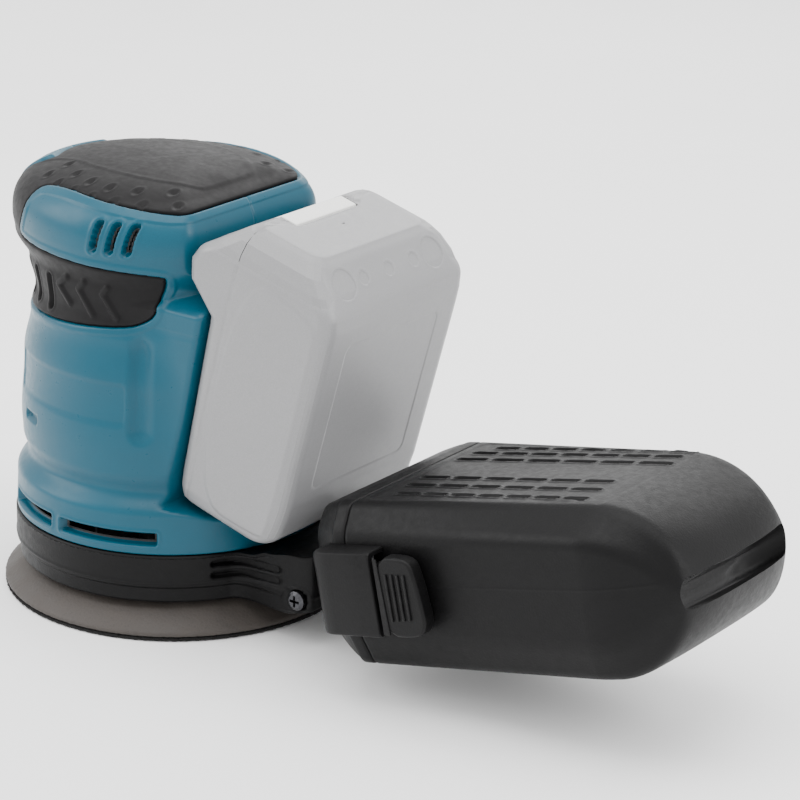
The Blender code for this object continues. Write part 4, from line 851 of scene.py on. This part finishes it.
def boxRow(x, inset=0.0, shrink=0.0, corner=3.0, counts=(150, 34, 100, 56, 150, 56, 100, 34)):
    # one section as a ring of points: sides with rounded corners between them
    corners = np.array([(float(a), float(b)) for a, b in boxCorners(float(x), inset)])
    corners = corners * (1 - shrink / 60, 1 - shrink / 34) - (0, shrink * 0.45)
    ring = []
    for k in range(8):
        here, ahead = corners[k], corners[(k + 1) % 8]
        way = ahead - here
        length = np.linalg.norm(way)
        trim = min(corner, 0.4 * length) / length
        arcSteps = 6
        back = corners[k - 1] - here
        backTrim = min(corner, 0.4 * np.linalg.norm(back)) / np.linalg.norm(back)
        start, finish = here + back * backTrim, here + way * trim
        for j in range(arcSteps):
            t = j / arcSteps
            ring.append(start * (1 - t) ** 2 + here * 2 * t * (1 - t) + finish * t * t)
        for j in range(counts[k] - arcSteps):
            ring.append(here + way * (trim + (1 - 2 * trim) * j / (counts[k] - arcSteps)))
    ring = np.array(ring)
    return np.stack([np.full(len(ring), float(x)), ring[:, 0], ring[:, 1]], -1)


def buildDustBox():
    place = leaning(box["x"], box["z"], -box["tilt"])
    front = 0.35
    swing = np.sin(np.linspace(0, math.pi / 2, 60)) ** 1.0
    stations = np.concatenate([[front, front + 0.3, front + 0.8], np.arange(1.6, 88.0, 0.62),
                               88.0 + (box["length"] - 0.6 - 88.0) * swing])
    rows = [boxRow(x, box["wall"]) for x in (70.0, 30.0, 8.0, front + 0.6)]
    rows += [boxRow(front, box["wall"] * 0.9), boxRow(front, 0.4)]
    inner = len(rows)
    rows += [boxRow(x, 0.3 * max(0.0, 1 - (x - front) / 0.8)) for x in stations]
    points = np.array(rows)
    # the rear is rounded in plan too, so the sections close on a blunt end
    swell = np.clip((points[..., 0] - 88.0) / (box["length"] - 88.0), 0, 1)
    inward = np.abs(points[..., 1]) / box["half"]
    points[..., 0] -= np.where(swell > 0, 9.0 * swell ** 2 * inward ** 3, 0)
    normals = -gridNormals(points)
    x, y, z = points[..., 0], points[..., 1], points[..., 2]
    d = np.zeros(x.shape)
    topSide = ramp(normals[..., 2], 0.75, 0.1) * (x > 1)
    # short slots in rows on the lid, plain in the middle
    for rowY, first, last, count in ((-25.3, 14.8, 80.0, 7), (-15.8, 13.0, 77.5, 6), (-7.0, 12.2, 76.5, 6),
                                     (14.0, 12.0, 84.0, 6), (21.5, 12.0, 84.0, 7), (27.6, 17.0, 86.0, 7)):
        pitch = (last - first) / (count - 1)
        k = np.clip(np.round((x - first) / pitch), 0, count - 1)
        pill = insidePill(y - rowY, x - first - k * pitch, pitch / 2 - 2.3, 1.25)
        d -= (0.75 * ramp(pill, -0.2, 0.5) - 0.3 * np.exp(-((pill + 0.45) / 0.4) ** 2)) * topSide
    # shallow field that the rows stand in, and the step behind the frame
    field = insideBlock(x - 48.0, y, 44.0, 33.0 - 0.05 * x, 3.0)
    d -= 0.25 * ramp(field, -0.4, 0.6) * topSide
    # parting lines along the sides
    sideways = ramp(np.abs(normals[..., 1]), 0.7, 0.2)
    line = -24.6 + 0.02 * (x - 60)
    d += 0.14 * np.exp(-((z - line) / 0.3) ** 2) * sideways * (x > 20)
    d += 0.10 * np.exp(-((z + 40.2) / 0.3) ** 2) * sideways * (x > 26) * (x < 92)
    # moulding gate on the rear
    spot = np.hypot(y, z + 27.0)
    d += np.where(x > 110, 0.15 * np.exp(-((spot - 1.5) / 0.5) ** 2) - 0.4 * np.exp(-(spot / 1.0) ** 2), 0)
    d[:inner] = 0
    points = points + normals * d[..., None]
    faces = [list(f) for f in gridFaces(*x.shape)[:, ::-1]]
    last = (x.shape[0] - 1) * x.shape[1]
    faces.append([last + k for k in range(x.shape[1])])
    faces.append([k for k in range(x.shape[1])][::-1])
    made = asPiece("dustBox", placed(points, place).reshape(-1, 3), faces, blackPlastic)
    rides(made, "dust_box", "dust_box")


def buildNozzle():
    place = leaning(box["x"], box["z"], -box["tilt"])
    outer = [(-15.5, 9.0), (-15.3, 8.2), (-14.6, 6.6), (-13.4, 5.2), (-12.0, 4.2), (-10.0, 3.0), (-8.0, 1.9),
             (-6.0, 1.0), (-5.2, 0.75), (-4.9, 0.55), (-4.6, 0.15), (-4.3, 0.05), (-3.0, 0.0), (-1.0, 0.0),
             (-0.3, 0.1), (0.0, 0.35)]
    inner = [(0.0, 1.2), (-2.0, 1.4), (-5.0, 2.0), (-10.0, 5.6), (-12.5, 10.4)]
    rows = [boxRow(0.0, 0.0, s) * (0, 1, 1) + (x, 0, 0) for x, s in outer]
    rows += [boxRow(0.0, box["wall"], s - 1.2) * (0, 1, 1) + (x, 0, 0) for x, s in inner]
    points = np.array(rows)
    faces = [list(f) for f in gridFaces(*points.shape[:2])[:, ::-1]]
    made = asPiece("dustNozzle", placed(points, place).reshape(-1, 3), faces, blackPlastic)
    rides(made, "nozzle", "dust_nozzle")

    # front wall as a ring round the spout hole, and the same inside
    def wallDisc(name, x, rim, hole, flip):
        ring = rim[:, 1:]
        angle = np.arctan2(ring[:, 1] + box["spoutDrop"], ring[:, 0])
        rows = []
        for share in (1.0, 0.85, 0.6, 0.35, 0.12, 0.0):
            holeRing = np.stack([hole * np.cos(angle), hole * np.sin(angle) - box["spoutDrop"]], -1)
            flat = ring * share + holeRing * (1 - share)
            rows.append(np.concatenate([np.full((len(flat), 1), x), flat], 1))
        grid = gridFaces(len(rows), len(angle))
        faces = grid[:, ::-1] if flip else grid
        return asPiece(name, placed(np.array(rows), place).reshape(-1, 3), faces, blackPlastic)

    rides(wallDisc("nozzleFront", -15.5, boxRow(0.0, 0.0, 9.0), 15.0, False), "nozzle")
    rides(wallDisc("nozzleInside", -12.5, boxRow(0.0, box["wall"], 9.2), 13.5, True), "nozzle")
    collar = fineProfile([(13.5, -12.6), (13.5, -24.0), (15.4, -24.0), (15.4, -15.6), (17.0, -15.2)], 1.0, 1)
    turned = placed(spun(collar, 128), place @ Matrix.Translation((0, 0, -box["spoutDrop"]))
                    @ Matrix.Rotation(math.radians(90), 4, "Y"))
    rides(asPiece("nozzleCollar", turned.reshape(-1, 3), gridFaces(len(collar), 128), blackPlastic), "nozzle")
    # side sleeves: a sloping front wedge that grows out of the frame, hollow at the back
    for name, sign in (("sleeveLeft", -1), ("sleeveRight", 1)):
        rides(buildSleeve(name, sign, place), "nozzle", "sleeve_left" if sign < 0 else "sleeve_right")


def buildSleeve(name, sign, place):
    # stations back along the sleeve: x, how far out, low, high
    outline = lambda out, low, high, corner=1.6: [
        (41.0, low), (out - corner, low), (out - corner * 0.3, low + corner * 0.3), (out, low + corner),
        (out, high - corner), (out - corner * 0.3, high - corner * 0.3), (out - corner, high), (41.0, high)]
    stations = [(-9.0, 46.8, -38.4, -14.4), (-8.6, 48.2, -39.2, -13.4), (-8.0, 49.6, -39.9, -12.7),
                (-7.0, 50.6, -40.3, -12.3), (-5.5, 51.1, -40.4, -12.2), (-2.0, 51.3, -40.4, -12.2),
                (4.0, 51.35, -40.4, -12.2), (14.8, 51.35, -40.4, -12.2), (15.3, 51.2, -40.2, -12.4),
                (15.5, 50.9, -39.9, -12.7), (15.5, 49.2, -38.9, -13.7), (15.2, 48.8, -38.6, -14.0),
                (1.0, 48.8, -38.6, -14.0)]
    rows = []
    for x, out, low, high in stations:
        corner = 1.6 if x < 15.4 and out > 49 else 1.0
        rows.append([(x, sign * y, z) for y, z in outline(out, low, high, corner)])
    count = len(rows[0])
    faces = []
    for v in range(len(rows) - 1):
        for u in range(count - 1):
            quad = [v * count + u, v * count + u + 1, (v + 1) * count + u + 1, (v + 1) * count + u]
            faces.append(quad if sign > 0 else quad[::-1])
    cap = list(range(count))
    faces.append(cap[::-1] if sign > 0 else cap)
    last = (len(rows) - 1) * count
    cap = [last + k for k in range(count)]
    faces.append(cap if sign > 0 else cap[::-1])
    piece = asPiece(name, placed(np.array(rows).reshape(-1, 3), place), faces, blackPlastic, sharp=40)
    return baked(bevelled(piece, 0.35, 2, 30))


def buildTabs():
    place = leaning(box["x"], box["z"], -box["tilt"])
    gripOutline = cutCorners([(16.0, -39.9), (30.6, -39.9), (33.6, -36.0), (33.5, -31.0), (31.8, -18.0),
                              (29.5, -13.7), (16.0, -13.7)], 2)
    for name, sign in (("left", -1), ("right", 1)):
        low, high = sorted((sign * 44.8, sign * 50.3))
        pad = ranOut(f"tabGrip_{name}", gripOutline, low, high, place, blackPlastic, 1.1, 4)
        rides(pad, f"tab_{name}", f"latch_tab_{name}")
        low, high = sorted((sign * 43.9, sign * 46.9))
        arm = ranOut(f"tabArm_{name}", [(2.0, -35.8), (18.0, -35.8), (18.0, -16.8), (2.0, -16.8)], low, high, place,
                     blackPlastic, 0.4, 2)
        rides(arm, f"tab_{name}")
        rail = ranOut(f"tabRail_{name}", [(16.6, -39.2), (19.2, -39.4), (18.2, -14.2), (16.6, -14.2)],
                      *sorted((sign * 50.0, sign * 50.75)), place, blackPlastic, 0.3, 2)
        rides(rail, f"tab_{name}")
        for k in range(4):
            x = 21.0 + 2.35 * k
            rib = [(x - 0.45, -34.6 + 0.2 * k), (x + 0.45, -34.6 + 0.2 * k), (x + 0.35, -19.0), (x - 0.55, -19.0)]
            made = ranOut(f"tabRib_{name}_{k + 1}", rib, *sorted((sign * 50.0, sign * 51.0)), place,
                          blackPlastic, 0.3, 2)
            rides(made, f"tab_{name}")


buildShroud()
buildDustBox()
buildNozzle()
buildTabs()
print("shroud and dust box made")


# sanding pad

pad = dict(x=1.4, holes=8, holeRadius=4.5, holeCircle=40.0, columns=480)


def padNoise(turn, waves, seed, size):
    # sum of a few sines, the same each run
    random = np.random.default_rng(seed)
    total = np.zeros_like(turn)
    for wave in waves:
        total += np.sin(turn * wave + random.uniform(0, 6.28)) * random.uniform(0.5, 1.0)
    return total / len(waves) * size


def drilled(piece, low, high):
    # dust holes through the pad
    holes = bmesh.new()
    for k in range(pad["holes"]):
        turn = 2 * math.pi * (k + 0.5) / pad["holes"]
        spot = Matrix.Translation(((pad["x"] + pad["holeCircle"] * math.cos(turn)) * mm,
                                   pad["holeCircle"] * math.sin(turn) * mm, (low + high) / 2 * mm))
        bmesh.ops.create_cone(holes, cap_ends=True, segments=40, radius1=pad["holeRadius"] * mm,
                              radius2=pad["holeRadius"] * mm, depth=(high - low) * mm, matrix=spot)
    mesh = bpy.data.meshes.new("drill")
    holes.to_mesh(mesh)
    holes.free()
    tool = bpy.data.objects.new("drill", mesh)
    bpy.context.scene.collection.objects.link(tool)
    cut = piece.modifiers.new("holes", "BOOLEAN")
    cut.operation, cut.solver, cut.object = "DIFFERENCE", "EXACT", tool
    baked(piece)
    bpy.data.objects.remove(tool)
    piece.data.set_sharp_from_angle(angle=math.radians(45))
    return piece


def buildPad():
    turn = 2 * np.pi * np.arange(pad["columns"]) / pad["columns"]
    profile = fineProfile([(9.0, 1.55), (61.1, 1.55), (61.35, 2.2), (61.2, 2.9), (57.6, 5.6), (53.6, 8.0),
                           (50.5, 9.8), (48.0, 10.45), (9.0, 10.45)], 1.1, 1)
    rows = []
    for radius, z in profile:
        rim = ramp(np.array(radius), 59.5, 1.4) * (z < 3.4)
        wave = padNoise(turn, (3, 5, 9), 4, 0.12) * (radius > 47)
        ragged = padNoise(turn, (61, 97, 131, 173, 211), 9, 0.22) * rim
        r = np.minimum(radius + wave + ragged, 61.45)
        rows.append(np.stack([pad["x"] + r * np.cos(turn), r * np.sin(turn), np.full_like(turn, z)], -1))
    rows.append(rows[0])
    points = np.array(rows)
    faces = gridFaces(len(rows) - 1, pad["columns"])
    # close the bore
    last = (len(rows) - 2) * pad["columns"]
    k = np.arange(pad["columns"])
    ahead = (k + 1) % pad["columns"]
    faces = np.vstack([faces, np.stack([last + k, last + ahead, ahead, k], -1)])
    foam = asPiece("padFoamCone", points[:-1].reshape(-1, 3), faces, padFoam)
    drilled(foam, -1.0, 13.0)
    rides(foam, "pad", "pad_foam")
    # hook face: a ragged fibre edge standing out from under the foam
    rows = []
    for radius, z in ((57.0, 1.2), (60.4, 1.2), (61.0, 1.1), (61.3, 0.7), (61.2, 0.25), (60.6, 0.0), (57.0, 0.0)):
        ragged = padNoise(turn, (89, 113, 149, 191, 227, 239), 21 + int(radius), 0.55) * (radius > 60)
        r = np.minimum(radius + ragged, 61.45)
        rows.append(np.stack([pad["x"] + r * np.cos(turn), r * np.sin(turn), np.full_like(turn, z)], -1))
    whole = [list(f) for f in gridFaces(len(rows), pad["columns"])[:, ::-1]]
    whole.append([int(v) for v in k])
    whole.append([int(v) for v in (len(rows) - 1) * pad["columns"] + k[::-1]])
    hook = asPiece("hookFace", np.array(rows).reshape(-1, 3), whole, hookNylon)
    drilled(hook, -2.0, 4.0)
    rides(hook, "pad", "hook_face")
    # loose fibres round the edge
    random = np.random.default_rng(5)
    points, faces = [], []
    for _ in range(900):
        a, out = random.uniform(0, 2 * math.pi), random.uniform(60.6, 61.1)
        tip = random.uniform(61.2, 61.44)
        z0, z1 = random.uniform(0.2, 1.6), random.uniform(0.05, 2.0)
        lean = random.uniform(-0.012, 0.012)
        base = len(points)
        for angle, radius, z in ((a - 0.0022, out, z0), (a + 0.0022, out, z0), (a + lean + 0.001, tip, z1),
                                 (a + lean - 0.001, tip, z1), (a, out, z0 + 0.22), (a + lean, tip, z1 + 0.1)):
            points.append((pad["x"] + radius * math.cos(angle), radius * math.sin(angle), z))
        faces += [[base, base + 1, base + 2, base + 3], [base + 1, base + 4, base + 5, base + 2],
                  [base + 4, base, base + 3, base + 5]]
    rides(asPiece("hookFibres", points, faces, hookNylon), "pad")


buildPad()
print("pad made")


# battery pack skin and button, in the pack's leaning frame

pack = dict(
    # height, front, back, half width
    rings=((0.7, 1.0, 31.0, 33.5), (1.4, -1.4, 33.2, 35.2), (3.0, -2.8, 35.4, 36.5), (6.5, -3.6, 38.4, 37.3),
           (12.0, -4.0, 39.6, 37.5), (19.0, -4.3, 40.3, 37.5), (69.5, -6.8, 40.5, 37.5), (78.5, -18.0, 40.5, 37.5),
           (84.5, -19.4, 40.4, 37.5), (89.5, -17.2, 39.6, 37.4), (91.5, -15.0, 38.2, 37.2), (93.0, -13.2, 36.9, 36.2),
           (94.2, -12.0, 35.7, 34.9), (95.6, -10.5, 34.4, 34.3), (98.2, -7.4, 31.4, 34.0), (100.0, -5.4, 29.4, 33.2),
           (101.8, -3.4, 27.4, 31.2), (103.0, -0.6, 24.5, 28.0)),
    corner=5.0, skin=0.18, seamX=1.0, seamTop=91.5, labelHalf=24.5, labelLow=24.0, labelHigh=78.0,
    recesses=((-23.5, 5.2), (-13.3, 2.3), (0.0, 2.3), (13.3, 2.3), (23.5, 5.2)), recessZ=96.8,
)


def packRow(front, back, half, corner):
    # rounded rectangle, counterclockwise from the front left
    corner = min(corner, (back - front) / 3)
    middle, reach = (front + back) / 2, (back - front) / 2
    ring = []
    centres = ((1, -1, -90), (1, 1, 0), (-1, 1, 90), (-1, -1, 180))
    spots = []
    for sx, sy, start in centres:
        cx, cy = middle + sx * (reach - corner), sy * (half - corner)
        spots.append([(cx + corner * math.cos(math.radians(start + 90 * k / 16)),
                       cy + corner * math.sin(math.radians(start + 90 * k / 16))) for k in range(17)])
    sides = (64, 120, 64, 120)
    for k in range(4):
        here = spots[k]
        before = spots[k - 1][-1]
        count = sides[k]
        for j in range(1, count):
            t = j / count
            ring.append((before[0] + (here[0][0] - before[0]) * t, before[1] + (here[0][1] - before[1]) * t))
        ring += here
    return np.array(ring)


def buildPack():
    place = leaning(shell["packX"], shell["packZ"], shell["packTilt"])
    stations = np.array(pack["rings"])
    heights = np.concatenate([np.arange(0.7, 10.0, 0.4), np.arange(10.0, 88.0, 0.75), np.arange(88.0, 103.0, 0.33),
                              [103.0]])
    fine = np.arange(0.7, 103.001, 0.1)
    sizes = [np.interp(heights, fine, averaged(np.interp(fine, stations[:, 0], stations[:, k]), 9))
             for k in (1, 2, 3)]
    rows = []
    for share in (0.0, 0.5, 0.93, 0.985):
        ring = packRow(sizes[0][0] + 0.6, sizes[1][0] - 0.6, sizes[2][0] - 0.6, pack["corner"])
        centre = ring.mean(0)
        rows.append(np.concatenate([centre + (ring - centre) * max(share, 0.02), np.full((len(ring), 1), 0.7)], 1))
    for height, front, back, half in zip(heights, *sizes):
        ring = packRow(front, back, half, pack["corner"])
        rows.append(np.concatenate([ring, np.full((len(ring), 1), height)], 1))
    ring = packRow(sizes[0][-1], sizes[1][-1], sizes[2][-1], pack["corner"])
    centre = ring.mean(0)
    for share in (0.985, 0.94, 0.86, 0.78, 0.7, 0.6, 0.5, 0.4, 0.3, 0.2, 0.1, 0.02):
        rows.append(np.concatenate([centre + (ring - centre) * share, np.full((len(ring), 1), 103.05)], 1))
    points = np.array(rows)
    normals = gridNormals(points)
    x, y, z = points[..., 0], points[..., 1], points[..., 2]
    d = np.full(x.shape, pack["skin"])
    sideways = ramp(np.abs(normals[..., 1]), 0.6, 0.3)
    seam = np.abs(x - pack["seamX"] - 0.4 * ramp(80 - z, 0, 80))
    d -= 0.4 * np.exp(-(seam / 0.32) ** 2) * sideways * (z < pack["seamTop"])
    endSeam = np.abs(x - pack["seamX"])
    d -= 0.35 * np.exp(-(endSeam / 0.32) ** 2) * ((z < 1.2) | (z > 101.5)) * (np.abs(y) > 17.5)
    # raised side panel with a softly rounded edge
    side = insideBy(x, z, cutCorners([(3.4, 5.0), (3.4, 90.4), (27.0, 88.6), (35.4, 85.6), (36.2, 80.0), (36.2, 9.0),
                                      (33.0, 5.0)], 3))
    d += 0.32 * ramp(side, -0.6, 1.2) * sideways
    rear = ramp(normals[..., 0], 0.8, 0.15)
    label = insideBlock(y, z - (pack["labelLow"] + pack["labelHigh"]) / 2, pack["labelHalf"],
                        (pack["labelHigh"] - pack["labelLow"]) / 2, 2.5)
    d -= 0.3 * ramp(label, -0.2, 0.5) * rear
    lean = ramp(normals[..., 0], 0.35, 0.2) * ramp(z, 88.5, 2.0)
    for spotY, radius in pack["recesses"]:
        away = np.hypot(y - spotY, (z - pack["recessZ"]) * 1.45)
        d -= (0.9 if radius > 3 else 0.7) * (1 - ramp(away, radius - 0.7, 0.9)) * lean
        d += 0.16 * np.exp(-((away - radius - 0.35) / 0.4) ** 2) * lean
    pocket = np.minimum.reduce([16.4 - np.abs(y), 5.9 - x, np.where(z > 88.4, 9.0, -9.0), x + 22.0])
    deckHole = np.minimum.reduce([30.5 - np.abs(y), 69.9 - z, -x + 5.0, z - 1.6])
    deckHole = np.where(normals[..., 0] < -0.5, deckHole, -9)
    d -= 1.2 * ramp(np.where(z > 95, pocket, -9), -0.3, 0.6)
    made = points + normals * d[..., None]
    faces = gridFaces(*x.shape)
    flat = lambda grid: grid.reshape(-1)[faces]
    keep = ~((flat(pocket) > 0.2).all(1) | (flat(deckHole) > 0.2).all(1))
    onLabel = ((flat(label) > 0.3).all(1) & (flat(rear) > 0.5).all(1)).astype(int)
    skin = asPiece("packSkin", placed(made, place).reshape(-1, 3), faces[keep], [packPlastic, labelFilm],
                   onLabel[keep])
    rides(skin, "battery")
    # pocket that the button sits in
    for name, low, high in (("buttonPocketLeft", -17.2, -16.45), ("buttonPocketRight", 16.45, 17.2)):
        side = [(-12.0, 89.6), (5.9, 98.6), (5.9, 102.6), (-1.2, 102.6), (-5.0, 99.6), (-12.0, 93.6)]
        wall = ranOut(name, side, low, high, place, packPlastic, 0.2, 2)
        rides(wall, "battery")
    button = ranOut("releaseButton", [(-11.3, 91.4), (-0.6, 91.4), (-0.6, 101.0), (5.2, 101.0), (5.2, 102.6),
                                      (4.6, 103.2), (-1.8, 103.2), (-5.2, 100.4), (-11.3, 94.6)], -15.9, 15.9, place,
                    buttonPlastic, 0.5, 3)
    rides(button, "release_button", "latch_button")


buildPack()
print("battery made")


# floor, light and camera

def buildStage():
    floorFinish, tree, shader = shaderSetup("paleFloor")
    where = addNode(tree, "ShaderNodeTexCoord").outputs["Object"]
    tone = noiseAt(tree, where, 3.0, 3.0)
    tree.links.new(mixed(tree, spread(tree, tone, 0, 1), (0.93, 0.93, 0.93, 1), (0.97, 0.97, 0.97, 1)),
                   shader.inputs["Base Color"])
    tree.links.new(spread(tree, tone, 0.5, 0.6), shader.inputs["Roughness"])
    reach = 6000.0
    corners = [(x * reach, y * reach, -0.2) for x, y in ((-1, -1), (1, -1), (1, 1), (-1, 1))]
    floor = asPiece("floor", corners, [[0, 1, 2, 3]], floorFinish)
    world = bpy.data.worlds.new("studioAir")
    world.use_nodes = True
    world.node_tree.nodes["Background"].inputs["Color"].default_value = (1, 1, 1, 1)
    world.node_tree.nodes["Background"].inputs["Strength"].default_value = 1.7
    bpy.context.scene.world = world


lights = (
    # name, where, size, watts
    ("topSoft", (0.10, -0.10, 1.10), (1.1, 0.9), 12.0),
    ("leftKey", (-0.95, -0.65, 0.75), (0.7, 0.9), 10.0),
    ("rightStrip", (1.05, 0.30, 0.62), (0.35, 0.9), 6.0),
    ("backLift", (-0.20, 1.00, 0.70), (1.2, 0.5), 6.0),
)


def buildLights():
    target = Vector((0.06, 0, 0.06))
    for name, spot, size, watts in lights:
        lamp = bpy.data.lights.new(name, "AREA")
        lamp.shape, lamp.size, lamp.size_y, lamp.energy = "RECTANGLE", size[0], size[1], watts
        holder = bpy.data.objects.new(name, lamp)
        holder.location = spot
        holder.rotation_euler = (target - Vector(spot)).to_track_quat("-Z", "Y").to_euler()
        bpy.context.scene.collection.objects.link(holder)


def buildCamera():
    lens = bpy.data.cameras.new("camera")
    lens.lens, lens.sensor_width, lens.clip_end = 135.0, 36.0, 50.0
    camera = bpy.data.objects.new("camera", lens)
    right, up, ahead = (0.80172, 0.59749, 0.01583), (-0.21257, 0.26028, 0.94184), (-0.55862, 0.75846, -0.33568)
    turn = Matrix((right, up, [-a for a in ahead])).transposed()
    camera.matrix_world = Matrix.Translation((0.6458, -0.7451, 0.4157)) @ turn.to_4x4()
    bpy.context.scene.collection.objects.link(camera)
    bpy.context.scene.camera = camera


buildStage()
buildLights()
buildCamera()
print("stage set")
